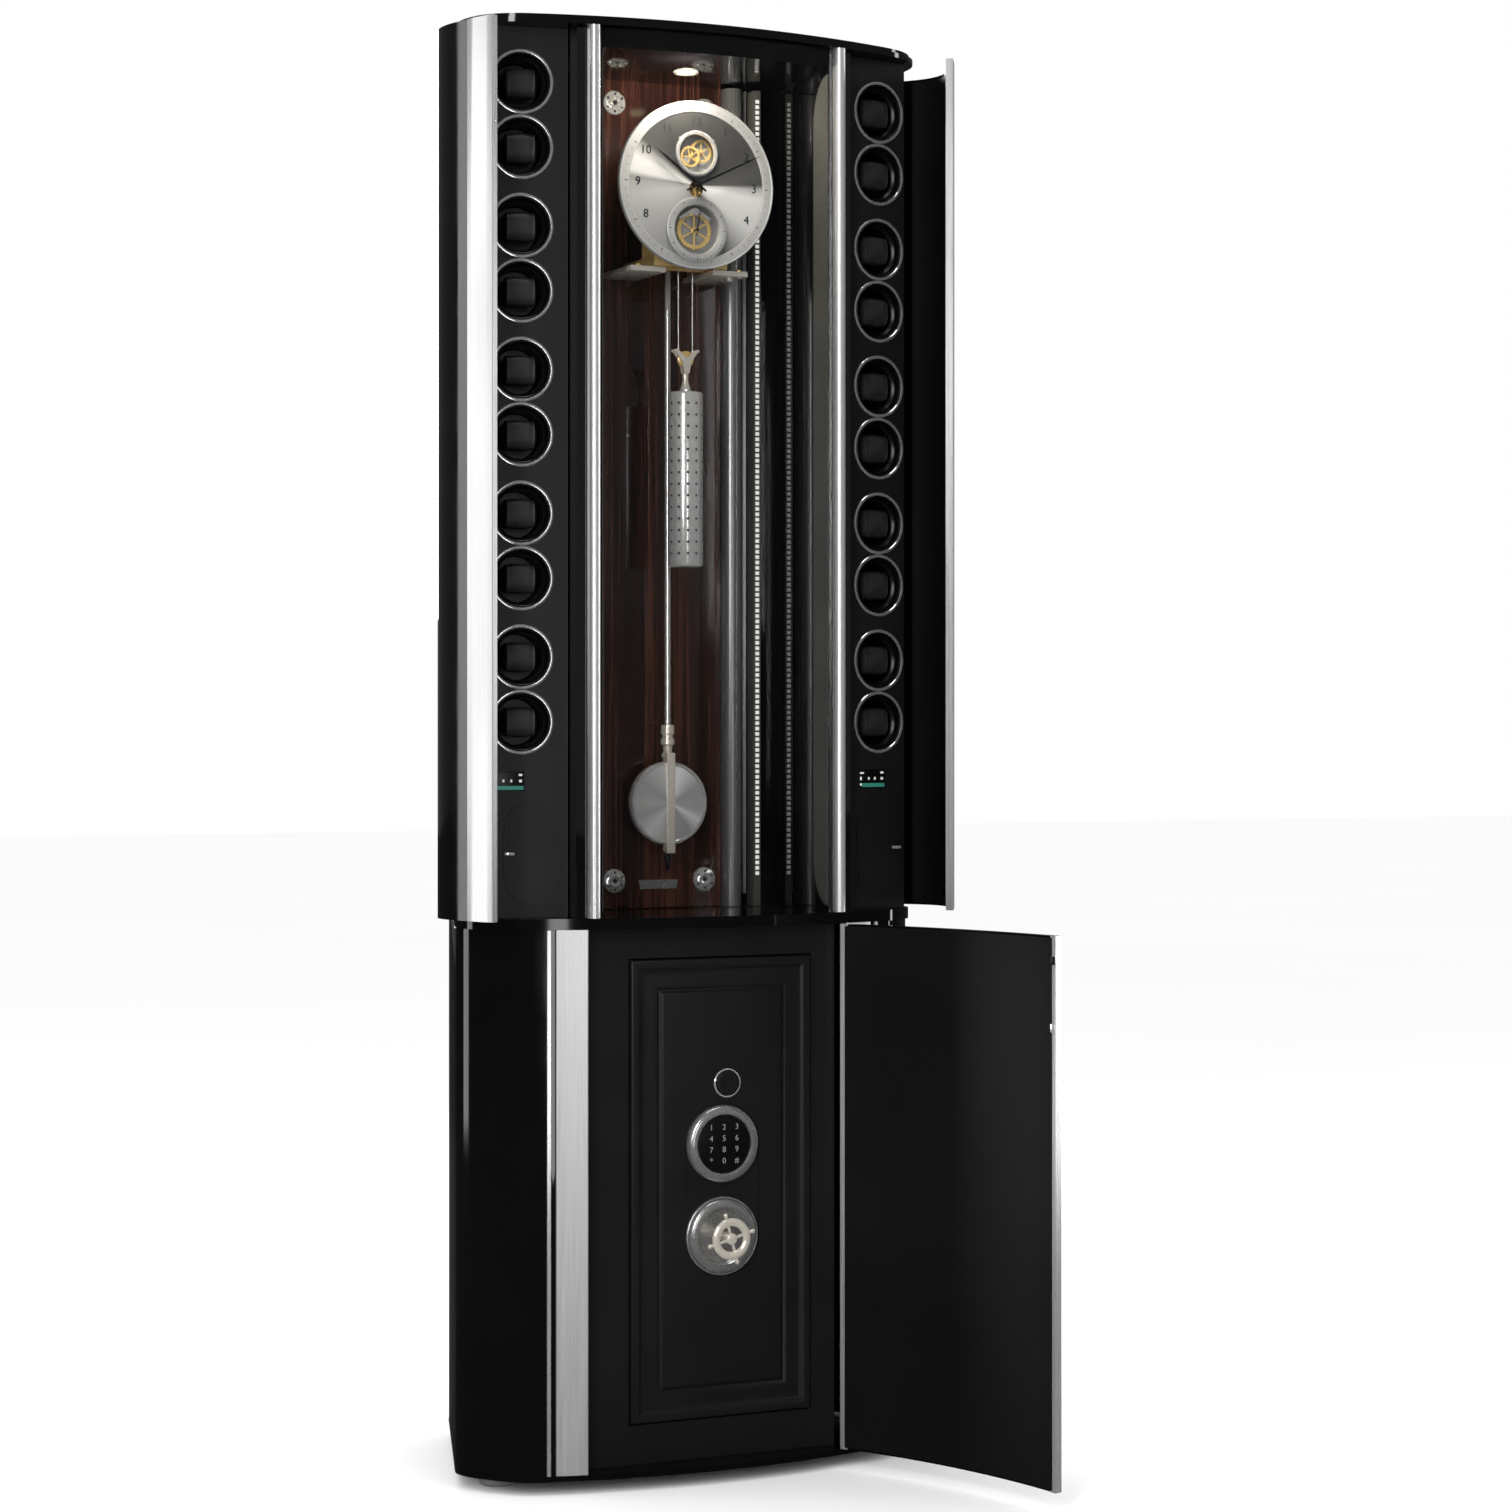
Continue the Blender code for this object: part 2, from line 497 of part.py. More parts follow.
def build_clock():
    """The backboard, movement frame, dial, hands, drum, weight, cable and pendulum."""
    block("clock_backboard", (-0.1895, BACKBOARD_Y, WAIST_TOP + GAP),
          (0.1895, BACKBOARD_Y + 0.012, CAP_BOTTOM - GAP), WOOD)

    frame = block("movement_frame", (-0.062, PLATE_FRONT_Y, 1.866),
                  (0.062, PLATE_FRONT_Y + PLATE_THICKNESS, 2.062), BRASS)
    extras = [block("back_plate", (-0.0615, PLATE_BACK_Y, 1.8665),
                    (0.0615, PLATE_BACK_Y + PLATE_THICKNESS, 2.0615), BRASS)]
    for x in (-0.055, 0.055):
        side = "left" if x < 0 else "right"
        extras.append(block("seat_rail_" + side, (x - 0.0065, PLATE_FRONT_Y + 0.001, 1.867),
                            (x + 0.0065, BACKBOARD_Y - GAP, 1.882), BRASS))
        extras.append(rod("pillar_" + side, (x, 0.135, 2.050), 0.004, 0.046, "Y", BRASS,
                          segments=12))
    extras.append(block("cable_anchor", (-0.056, 0.127, 1.868), (-0.009, 0.135, 1.8735), BRASS))
    extras.append(block("suspension_stud", (-0.010, 0.158, PENDULUM_TOP_Z + 0.0045),
                        (0.010, PENDULUM_Y + 0.012, PENDULUM_TOP_Z + 0.014), BRASS))
    for extra in extras:
        combine(frame, extra, "UNION")

    dial = rod("dial", (0, DIAL_FRONT_Y + 0.0025, DIAL_Z), DIAL_RADIUS, 0.005, "Y", DIAL_SILVER,
               segments=64)
    combine(dial, rod("balance_aperture", (0, DIAL_FRONT_Y, APERTURE_Z), 0.030, 0.03, "Y",
                      DIAL_SILVER, segments=32), "DIFFERENCE")
    combine(dial, rod("seconds_aperture", (0, DIAL_FRONT_Y, SECONDS_Z), 0.041, 0.03, "Y",
                      DIAL_SILVER, segments=32), "DIFFERENCE")
    combine(dial, rod("hand_hole", (0, DIAL_FRONT_Y, DIAL_Z), 0.009, 0.03, "Y",
                      DIAL_SILVER, segments=16), "DIFFERENCE")
    for x in (-0.052, 0.052):
        foot = rod("dial_foot", (x, 0.1008, DIAL_Z + 0.01), 0.003, 0.0178, "Y", DIAL_SILVER,
                   segments=10)
        combine(dial, foot, "UNION")

    build_hand("hour_hand", 0.0800, 0.0040, 0.084, 0.0055, math.radians(-54), 0.0033)
    minute = build_hand("minute_hand", 0.0760, 0.0030, 0.119, 0.0045, math.radians(64))
    combine(minute, rod("centre_arbor", (0, 0.0932, DIAL_Z), 0.0026, 0.032, "Y", BLUED),
            "UNION")
    seconds = build_hand("seconds_hand", 0.0835, 0.0015, 0.034, 0.0025, math.radians(8),
                         centre_z=SECONDS_Z)
    combine(seconds, rod("escape_arbor", (0, 0.0967, SECONDS_Z), 0.0018, 0.0255, "Y", BLUED,
                         segments=10), "UNION")

    drum_profile = [(0, 0.0295), (0.0030, 0.0295), (0.0030, 0.0240), (0.036, 0.0240),
                    (0.036, 0.0205), (0.0210, 0.0205), (0.0210, 0.0190), (DRUM_RADIUS, 0.0175),
                    (DRUM_RADIUS, 0.0060), (0.0210, 0.0045), (0.0210, 0.0030), (0.0030, 0.0030),
                    (0.0030, -0.0130), (0, -0.0130)]
    drum = turned("great_wheel", drum_profile, BRASS, 28)
    place(drum, location=(DRUM_X, 0.1433, DRUM_Z), rotation=(math.pi / 2, 0, 0))

    weight_profile = [(0, WEIGHT_HIGH + 0.016), (0.006, WEIGHT_HIGH + 0.016),
                      (0.007, WEIGHT_HIGH + 0.002), (0.024, WEIGHT_HIGH),
                      (WEIGHT_RADIUS, WEIGHT_HIGH - 0.004), (WEIGHT_RADIUS, WEIGHT_LOW + 0.004),
                      (0.024, WEIGHT_LOW), (0, WEIGHT_LOW)]
    weight = turned("weight", weight_profile, CHROME, 24)
    place(weight, location=(0, WEIGHT_Y, 0))
    yoke_low, yoke_high = WEIGHT_HIGH + 0.012, PULLEY_Z + 0.008
    parts = [block("yoke_foot", (-0.008, WEIGHT_Y - 0.0068, yoke_low),
                   (0.008, WEIGHT_Y + 0.0068, yoke_low + 0.008), CHROME)]
    for sign, end in ((-1, "front"), (1, "back")):
        near, far = sorted((WEIGHT_Y + sign * 0.0045, WEIGHT_Y + sign * 0.0065))
        parts.append(block("yoke_cheek_" + end, (-0.0045, near, yoke_low + 0.001),
                           (0.0045, far, yoke_high), CHROME))
    parts.append(rod("pulley_pin", (0, WEIGHT_Y, PULLEY_Z), 0.0018, 0.0112, "Y", CHROME,
                     segments=10))
    for part in parts:
        combine(weight, part, "UNION")

    groove = [(0.0021, 0.0035), (0.0128, 0.0035), (0.0128, 0.0025), (PULLEY_RADIUS, 0.0012),
              (PULLEY_RADIUS, -0.0012), (0.0128, -0.0025), (0.0128, -0.0035), (0.0021, -0.0035)]
    pulley = turned("pulley", groove, BRASS, 20, closed=True)
    place(pulley, location=(0, WEIGHT_Y, PULLEY_Z), rotation=(math.pi / 2, 0, 0))

    build_cable()
    build_pendulum()


def build_hand(name, y, thickness, length, width, angle, hub_hole=0.0, centre_z=DIAL_Z):
    """A slim tapering hand with a hub and a short tail, pointing clockwise from twelve."""
    holder = bpy.data.objects.new(name + "_axis", None)
    clock.objects.link(holder)
    place(holder, location=(0, y, centre_z), rotation=(0, angle, 0))
    outline = [(-width / 2, -0.2 * length), (width / 2, -0.2 * length), (width / 2, 0.75 * length),
               (0, length), (-width / 2, 0.75 * length)]
    hand = slab(name, outline, -thickness / 2, thickness / 2, BLUED)
    hand = as_mesh(hand)
    place(hand, holder, rotation=(math.pi / 2, 0, 0))
    hub = rod(name + "_hub", (0, 0, 0), max(width, 0.0055), thickness + 0.0004, "Y", BLUED)
    combine(hand, place(hub, holder, rotation=(math.pi / 2, 0, 0)), "UNION")
    if hub_hole:
        hole = rod(name + "_bore", (0, 0, 0), hub_hole, 0.02, "Y", BLUED)
        combine(hand, place(hole, holder, rotation=(math.pi / 2, 0, 0)), "DIFFERENCE")
    return hand


def build_cable():
    """The weight's cable: down from its anchor, under the pulley and up to the drum."""
    radius = 0.012
    turn = [math.pi + math.pi * i / 10 for i in range(11)]
    points = [(-radius, 1.8677), (-radius, 1.80)]
    points += [(radius * math.cos(a), PULLEY_Z + radius * math.sin(a)) for a in turn]
    points += [(radius, 1.80), (radius, DRUM_Z)]
    curve = bpy.data.curves.new("weight_cable", "CURVE")
    curve.dimensions = "3D"
    curve.bevel_depth = CABLE_RADIUS
    curve.bevel_resolution = 2
    curve.use_fill_caps = True
    curve.materials.append(CHROME)
    spline = curve.splines.new("POLY")
    spline.points.add(len(points) - 1)
    for point, (x, z) in zip(spline.points, points):
        point.co = (x, WEIGHT_Y, z, 1)
    obj = bpy.data.objects.new("weight_cable", curve)
    clock.objects.link(obj)
    place(obj)


def build_pendulum():
    """Rod, lens-shaped bob and rating nut, hung at the suspension point."""
    holder = bpy.data.objects.new("pendulum_axis", None)
    clock.objects.link(holder)
    place(holder, location=(0, PENDULUM_Y, PENDULUM_TOP_Z))
    drop = [(0, 0.004), (0.003, 0.004), (0.003, -0.020), (0.005, -0.022), (0.005, -0.876),
            (0.011, -0.880), (0.011, -0.900), (0.0075, -0.903), (0.0075, -1.078),
            (0.003, -1.082), (0.003, -1.106), (0, -1.106)]
    pendulum = turned("pendulum", drop, CHROME, 14)
    place(pendulum, holder)
    lens = [(0, 0.013), (0.030, 0.0115), (0.058, 0.0065), (0.0625, 0.0075), (BOB_RADIUS, 0.005),
            (BOB_RADIUS, -0.005), (0.0625, -0.0075), (0.058, -0.0065), (0.030, -0.0115),
            (0, -0.013)]
    bob = turned("bob", lens, CHROME, 40)
    place(bob, holder, (0, 0, BOB_Z - PENDULUM_TOP_Z), (math.pi / 2, 0, 0))
    combine(pendulum, bob, "UNION")


build_case()
build_winders()
build_doors()
build_safe()
build_clock()
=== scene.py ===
"""Looks of the longcase regulator clock: fine shells, dial, winders, safe and every finish."""
import json
import math

import bmesh
import bpy
from mathutils import Matrix, Vector


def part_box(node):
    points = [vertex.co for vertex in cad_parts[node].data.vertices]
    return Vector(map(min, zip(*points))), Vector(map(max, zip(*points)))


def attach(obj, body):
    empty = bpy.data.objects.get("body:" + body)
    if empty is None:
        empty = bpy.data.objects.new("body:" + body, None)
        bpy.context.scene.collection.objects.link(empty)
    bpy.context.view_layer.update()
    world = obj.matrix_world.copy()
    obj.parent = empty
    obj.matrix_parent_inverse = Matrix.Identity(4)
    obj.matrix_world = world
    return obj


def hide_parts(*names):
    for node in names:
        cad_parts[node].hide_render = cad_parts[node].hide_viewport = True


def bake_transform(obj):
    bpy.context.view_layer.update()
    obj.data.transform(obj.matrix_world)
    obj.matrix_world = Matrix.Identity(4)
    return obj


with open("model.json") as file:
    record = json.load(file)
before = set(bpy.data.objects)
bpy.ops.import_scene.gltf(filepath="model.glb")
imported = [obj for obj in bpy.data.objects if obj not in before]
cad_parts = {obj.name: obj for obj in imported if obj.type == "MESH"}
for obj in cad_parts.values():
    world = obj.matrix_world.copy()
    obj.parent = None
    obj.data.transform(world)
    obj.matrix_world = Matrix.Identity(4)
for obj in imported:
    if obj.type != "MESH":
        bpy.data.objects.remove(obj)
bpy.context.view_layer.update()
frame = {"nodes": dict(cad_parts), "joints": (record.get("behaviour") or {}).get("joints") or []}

NODES = frame["nodes"]
SIDES = (("left", -1), ("right", 1))

# Places read from the frame
FRONT_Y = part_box("bay_strip_left")[0].y + 0.006      # the plane of the bay's strips
WAIST_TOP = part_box("waist_board")[1].z
WAIST_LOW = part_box("waist_board")[0].z
BASE_LOW, BASE_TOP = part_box("base_board")[0].z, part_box("base_board")[1].z
CAP_LOW, CAP_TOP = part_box("top_cap")[0].z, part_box("top_cap")[1].z
JOINTS = {joint["name"]: joint for joint in frame["joints"]}
ROTORS = {side: [f"rotor_{side}_{i:02d}" for i in range(1, 11)] for side, _ in SIDES}

# The plan, as the case is designed
BOW_APEX, BOW_RADIUS, BOW_END = -0.022, 1.05, 0.3
CORNER = Vector((0.38, 0.135))
REAR = Vector((0.262, 0.49))
CORNER_UPPER, CORNER_LOWER = (0.045, 0.07), (0.02, 0.045)
CORNER_STEPS = 24
PANEL_TILT = math.asin(JOINTS["rotor_right_01_spin"]["axis"][0])
STILE_INNER, STILE_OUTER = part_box("lower_strip_right")[0].x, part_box("lower_strip_right")[1].x
DOOR_HALF = JOINTS["lower_door_hinge"]["pos_m"][0] - 0.0005


# ---------------------------------------------------------------- materials

def shader_of(name):
    """A new node material, with its tree and its Principled shader."""
    made = bpy.data.materials.new(name)
    made.use_nodes = True
    tree = made.node_tree
    return made, tree, tree.nodes["Principled BSDF"]


def node(tree, kind, links=(), **values):
    """Add a node, set its sockets and properties, and wire its inputs."""
    made = tree.nodes.new(kind)
    for key, value in values.items():
        if key in made.inputs.keys():
            made.inputs[key].default_value = value
        else:
            setattr(made, key, value)
    for socket, source in links:
        tree.links.new(source, made.inputs[socket])
    return made


def object_space(tree, scale=(1, 1, 1), location=(0, 0, 0), turn=(0, 0, 0)):
    """Object coordinates, scaled."""
    coordinates = node(tree, "ShaderNodeTexCoord")
    return node(tree, "ShaderNodeMapping", [("Vector", coordinates.outputs["Object"])],
                Scale=scale, Location=location, Rotation=turn).outputs["Vector"]


def noise(tree, vector, scale, detail=4.0, rough=0.5):
    """A noise texture's factor."""
    return node(tree, "ShaderNodeTexNoise", [("Vector", vector)], Scale=scale, Detail=detail,
                Roughness=rough).outputs["Fac"]


def spread(tree, factor, low, high, start=0.0, end=1.0):
    """Map a factor from start..end to low..high."""
    ranged = node(tree, "ShaderNodeMapRange", [("Value", factor)])
    for socket, value in (("From Min", start), ("From Max", end), ("To Min", low),
                          ("To Max", high)):
        ranged.inputs[socket].default_value = value
    return ranged.outputs["Result"]


def ramp(tree, factor, stops):
    """A colour ramp of (position, colour) stops."""
    made = node(tree, "ShaderNodeValToRGB", [("Fac", factor)])
    band = made.color_ramp
    while len(band.elements) < len(stops):
        band.elements.new(1.0)
    for element, (position, colour) in zip(band.elements, stops):
        element.position = position
        element.color = (*colour, 1)
    return made.outputs["Color"]


def bump(tree, shader, height, strength, distance):
    """Wire a bump into the shader's normal."""
    made = node(tree, "ShaderNodeBump", [("Height", height)], Strength=strength,
                Distance=distance)
    tree.links.new(made.outputs["Normal"], shader.inputs["Normal"])


def set_shader(shader, **values):
    """Set the shader's own sockets; underscores stand for spaces."""
    for key, value in values.items():
        shader.inputs[key.replace("_", " ")].default_value = value


def lacquer(name="lacquer", tint=(0.0022, 0.0022, 0.0026), roughness=0.05, index=1.45):
    """Polished piano lacquer with faint polishing haze."""
    made, tree, shader = shader_of(name)
    space = object_space(tree)
    haze = noise(tree, space, 9.0, 3.0)
    tree.links.new(spread(tree, haze, roughness * 0.6, roughness * 1.8, 0.3, 0.7),
                   shader.inputs["Roughness"])
    darker = tuple(c * 0.7 for c in tint)
    tree.links.new(ramp(tree, haze, [(0.3, darker), (0.8, tint)]), shader.inputs["Base Color"])
    bump(tree, shader, noise(tree, space, 60.0, 2.0), 0.03, 0.0004)
    set_shader(shader, IOR=index, Specular_IOR_Level=0.42)
    return made


def satin(name, low, high, roughness, grain=420.0, strength=0.12):
    """Matt or satin paint with a fine texture."""
    made, tree, shader = shader_of(name)
    space = object_space(tree)
    cloud = noise(tree, space, 6.0, 5.0)
    tree.links.new(ramp(tree, cloud, [(0.3, low), (0.7, high)]), shader.inputs["Base Color"])
    fine = noise(tree, space, grain, 3.0)
    tree.links.new(spread(tree, fine, roughness * 0.85, roughness * 1.15), shader.inputs["Roughness"])
    bump(tree, shader, fine, strength, 0.0004)
    set_shader(shader, Specular_IOR_Level=0.35)
    return made


def brushed(name, tone, roughness):
    """Brushed metal whose grain runs upright."""
    made, tree, shader = shader_of(name)
    lines = noise(tree, object_space(tree, (900, 900, 6)), 1.0, 5.0, 0.65)
    slow = noise(tree, object_space(tree, (3, 3, 1.2)), 1.0, 2.0)
    tree.links.new(ramp(tree, lines, [(0.3, (tone * 0.82,) * 3), (0.7, (tone * 1.08,) * 3)]),
                   shader.inputs["Base Color"])
    both = node(tree, "ShaderNodeMath", [(0, lines), (1, slow)], operation="ADD").outputs[0]
    tree.links.new(spread(tree, both, roughness * 0.75, roughness * 1.3, 0.7, 1.3),
                   shader.inputs["Roughness"])
    bump(tree, shader, lines, 0.1, 0.0002)
    set_shader(shader, Metallic=0.8)
    return made


def polished(name, colour, roughness=0.07, metallic=0.75):
    """Polished metal with faint wear."""
    made, tree, shader = shader_of(name)
    wear = noise(tree, object_space(tree), 160.0, 4.0)
    low = tuple(c * 0.86 for c in colour)
    tree.links.new(ramp(tree, wear, [(0.3, low), (0.7, colour)]), shader.inputs["Base Color"])
    tree.links.new(spread(tree, wear, roughness * 0.6, roughness * 1.7), shader.inputs["Roughness"])
    set_shader(shader, Metallic=metallic)
    return made


def spun(name, reflection_sectors, rings, anisotropic, roughness):
    """Spun about local Z: metal with fine rings, under a painted reflection that fans out in light and
    dark wedges.

    reflection_sectors are (share of a turn, tone of the painted reflection), counted anticlockwise from
    nine o'clock.
    """
    made, tree, shader = shader_of(name)
    coordinates = node(tree, "ShaderNodeTexCoord").outputs["Object"]
    flat = node(tree, "ShaderNodeVectorMath", [(0, coordinates)], operation="MULTIPLY")
    flat.inputs[1].default_value = (1, 1, 0)
    distance = node(tree, "ShaderNodeVectorMath", [(0, flat.outputs[0])], operation="LENGTH")
    turns = node(tree, "ShaderNodeMath", [(0, distance.outputs["Value"])], operation="MULTIPLY")
    turns.inputs[1].default_value = rings
    line = node(tree, "ShaderNodeTexNoise", [("W", turns.outputs[0])], noise_dimensions="1D",
                Scale=1.0, Detail=3.0).outputs["Fac"]
    fan = node(tree, "ShaderNodeTexGradient", [("Vector", coordinates)],
               gradient_type="RADIAL").outputs["Fac"]
    # painted reflection: the base colour is made lighter and darker by angle round the centre, in place
    # of the spun finish's real reflections
    painted_reflection_tones = ramp(tree, fan, [(share, (tone, tone, tone * 0.985)) for share, tone in reflection_sectors])
    fine = node(tree, "ShaderNodeMix", [("B", ramp(tree, line, [
        (0.3, (0.9, 0.9, 0.9)), (0.7, (1.0, 1.0, 1.0))])), ("A", painted_reflection_tones)], data_type="RGBA",
        blend_type="MULTIPLY")
    fine.inputs["Factor"].default_value = 1.0
    tree.links.new(fine.outputs["Result"], shader.inputs["Base Color"])
    tangent = node(tree, "ShaderNodeTangent", direction_type="RADIAL", axis="Z")
    tree.links.new(tangent.outputs[0], shader.inputs["Tangent"])
    bump(tree, shader, line, 0.05, 0.0001)
    set_shader(shader, Metallic=0.35, Roughness=roughness, Anisotropic=anisotropic)
    return made


def macassar():
    """Dark reddish veneer with upright streaks under polish."""
    made, tree, shader = shader_of("macassar")
    broad = noise(tree, object_space(tree, (16, 3, 0.7)), 1.0, 6.0, 0.6)
    fine = noise(tree, object_space(tree, (190, 20, 2.4)), 1.0, 6.0, 0.7)
    both = node(tree, "ShaderNodeMath", [(0, broad), (1, fine)], operation="ADD").outputs[0]
    half = node(tree, "ShaderNodeMath", [(0, both)], operation="MULTIPLY")
    half.inputs[1].default_value = 0.5
    tree.links.new(ramp(tree, half.outputs[0], [
        (0.34, (0.006, 0.003, 0.003)), (0.46, (0.022, 0.009, 0.007)), (0.54, (0.058, 0.021, 0.014)),
        (0.66, (0.115, 0.045, 0.028))]), shader.inputs["Base Color"])
    tree.links.new(spread(tree, fine, 0.1, 0.22), shader.inputs["Roughness"])
    bump(tree, shader, fine, 0.04, 0.0003)
    set_shader(shader, Coat_Weight=0.6, Coat_Roughness=0.04)
    return made


def leather():
    """Black leather with a pebbled grain."""
    made, tree, shader = shader_of("leather_fine")
    space = object_space(tree)
    cells = node(tree, "ShaderNodeTexVoronoi", [("Vector", space)], Scale=520.0,
                 feature="DISTANCE_TO_EDGE").outputs["Distance"]
    worn = noise(tree, space, 45.0, 5.0)
    tree.links.new(ramp(tree, worn, [(0.35, (0.008, 0.008, 0.0085)), (0.7, (0.019, 0.019, 0.0195))]),
                   shader.inputs["Base Color"])
    tree.links.new(spread(tree, worn, 0.33, 0.52), shader.inputs["Roughness"])
    bump(tree, shader, spread(tree, cells, 0, 1, 0, 0.35), 0.45, 0.0004)
    set_shader(shader, Specular_IOR_Level=0.5)
    return made


def glowing(name, colour, strength, surround=(0.8, 0.8, 0.8)):
    """A lamp's lens: lit plastic with a soft variation."""
    made, tree, shader = shader_of(name)
    cloud = noise(tree, object_space(tree), 300.0)
    tree.links.new(ramp(tree, cloud, [(0.2, tuple(c * 0.85 for c in colour)), (0.8, colour)]),
                   shader.inputs["Emission Color"])
    set_shader(shader, Emission_Strength=strength, Base_Color=(*surround, 1), Roughness=0.4)
    return made


def clear_glass():
    """Thin clear glass with a trace of haze."""
    made, tree, shader = shader_of("clear_pane")
    haze = noise(tree, object_space(tree), 4.0)
    tree.links.new(spread(tree, haze, 0.01, 0.03), shader.inputs["Roughness"])
    set_shader(shader, Base_Color=(0.002, 0.003, 0.003, 1), Alpha=0.1, Specular_IOR_Level=0.7)
    return made


M = {
    "lacquer": lacquer(),
    "mirror": lacquer("mirror_black", (0.0016, 0.0016, 0.0018), 0.02, 1.9),
    "satin": satin("satin_panel", (0.0042, 0.0045, 0.0045), (0.0064, 0.0068, 0.0068), 0.42),
    "door_inner": satin("door_inner", (0.0024, 0.0026, 0.0028), (0.0036, 0.0038, 0.0042), 0.38),
    "safe": satin("safe_enamel", (0.004, 0.0044, 0.0044), (0.0062, 0.0067, 0.0066), 0.42, 260.0,
                  0.25),
    "cup": satin("cup_plastic", (0.0016, 0.0016, 0.0018), (0.003, 0.003, 0.0032), 0.3),
    "aluminium": brushed("aluminium_brushed", 0.74, 0.36),
    "bay_metal": brushed("bay_strip_metal", 0.8, 0.28),
    "steel": polished("keypad_steel", (0.52, 0.52, 0.51), 0.2, 0.85),
    "column": brushed("column_metal", 0.34, 0.3),
    "key_print": satin("key_print", (0.16, 0.165, 0.165), (0.24, 0.24, 0.24), 0.5),
    "chrome": polished("chrome_polished", (0.8, 0.79, 0.77)),
    "ring": polished("ring_chrome", (0.62, 0.61, 0.6), 0.12, 0.85),
    "pierced": polished("pierced_chrome", (0.74, 0.74, 0.72), 0.16, 0.65),
    "warm_chrome": polished("warm_chrome", (0.86, 0.8, 0.7), 0.12, 0.6),
    "gilt": polished("gilt_polished", (0.9, 0.64, 0.25), 0.18, 0.6),
    "dark_metal": polished("hand_metal", (0.02, 0.02, 0.024), 0.25),
    "liner": satin("liner_grey", (0.05, 0.05, 0.045), (0.075, 0.074, 0.066), 0.3),
    "wood": macassar(),
    "leather": leather(),
    "led": glowing("led_white", (1.0, 0.98, 0.93), 0.75, (0.3, 0.3, 0.3)),
    "spot": glowing("spot_warm", (0.9, 0.78, 0.42), 1.3, (0.5, 0.5, 0.4)),
    "display": glowing("display_green", (0.02, 0.16, 0.12), 0.9, (0.01, 0.04, 0.035)),
    "white": satin("white_print", (0.62, 0.63, 0.63), (0.75, 0.75, 0.75), 0.5),
    "ink": satin("dial_ink", (0.012, 0.012, 0.014), (0.02, 0.02, 0.022), 0.5),
    "glass": clear_glass(),
}


# ---------------------------------------------------------------- shapes

def at(x, y, z):
    """A point measured from the plane of the bay's strips."""
    return Vector((x, FRONT_Y + y, z))


def facing(point, turn=0.0):
    """A frame at a point whose local Z looks out of the front, turned about the vertical."""
    return (Matrix.Translation(point) @ Matrix.Rotation(turn, 4, "Z")
            @ Matrix.Rotation(math.pi / 2, 4, "X"))


def piece(name, mesh, finish, body="root", matrix=None, smooth=35.0):
    """Make a mesh into a piece that rides on a body."""
    made = bpy.data.objects.new(name, mesh)
    bpy.context.scene.collection.objects.link(made)
    if not mesh.materials:
        mesh.materials.append(M[finish])
    mesh.shade_smooth()
    mesh.set_sharp_from_angle(angle=math.radians(smooth))
    if matrix is not None:
        made.matrix_world = matrix
    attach(made, body)
    return made


def mesh_of(name, bm):
    """A mesh from a bmesh, with its faces turned outwards."""
    bmesh.ops.recalc_face_normals(bm, faces=bm.faces)
    mesh = bpy.data.meshes.new(name)
    bm.to_mesh(mesh)
    bm.free()
    return mesh


def add_lathe(bm, profile, steps=64, closed=False, matrix=None):
    """Add a turned shape of (radius, height) points about local Z."""
    rings = []
    for radius, height in profile:
        if radius < 1e-7:
            rings.append([bm.verts.new((0, 0, height))])
            continue
        angles = (2 * math.pi * i / steps for i in range(steps))
        rings.append([bm.verts.new((radius * math.cos(a), radius * math.sin(a), height))
                      for a in angles])
    pairs = list(zip(rings, rings[1:]))
    if closed:
        pairs.append((rings[-1], rings[0]))
    for above, below in pairs:
        for i in range(steps):
            j = (i + 1) % steps
            loop = [above[i % len(above)], above[j % len(above)], below[j % len(below)],
                    below[i % len(below)]]
            unique = list(dict.fromkeys(loop))
            if len(unique) > 2:
                bm.faces.new(unique)
    if matrix is not None:
        bmesh.ops.transform(bm, matrix=matrix, verts=[v for ring in rings for v in ring])


def lathe(name, profile, finish, body, matrix, steps=64, closed=False, smooth=35.0):
    """A turned piece."""
    bm = bmesh.new()
    add_lathe(bm, profile, steps, closed)
    return piece(name, mesh_of(name, bm), finish, body, matrix, smooth)


def add_box(bm, low, high, matrix=None, bevel=0.0, segments=2):
    """Add a box between two corners, with rounded edges if bevel is given."""
    made = bmesh.ops.create_cube(bm, size=1.0)["verts"]
    size, middle = Vector(high) - Vector(low), (Vector(high) + Vector(low)) / 2
    bmesh.ops.transform(bm, matrix=Matrix.Translation(middle) @ Matrix.Diagonal((*size, 1)),
                        verts=made)
    if bevel:
        edges = list({e for v in made for e in v.link_edges})
        made = bmesh.ops.bevel(bm, geom=edges, offset=bevel, segments=segments, profile=0.6,
                               affect="EDGES")["verts"]
    if matrix is not None:
        bmesh.ops.transform(bm, matrix=matrix, verts=made)


def box(name, low, high, finish, body="root", matrix=None, bevel=0.0005):
    """A box piece with rounded edges."""
    bm = bmesh.new()
    add_box(bm, low, high, None, bevel)
    return piece(name, mesh_of(name, bm), finish, body, matrix)


def add_prism(bm, outline, low, high):
    """Add an upright shape with a flat outline."""
    floor = [bm.verts.new((x, y, low)) for x, y in outline]
    lid = [bm.verts.new((x, y, high)) for x, y in outline]
    count = len(outline)
    for i in range(count):
        j = (i + 1) % count
        bm.faces.new((floor[i], floor[j], lid[j], lid[i]))
    bm.faces.new(lid)
    bm.faces.new(list(reversed(floor)))


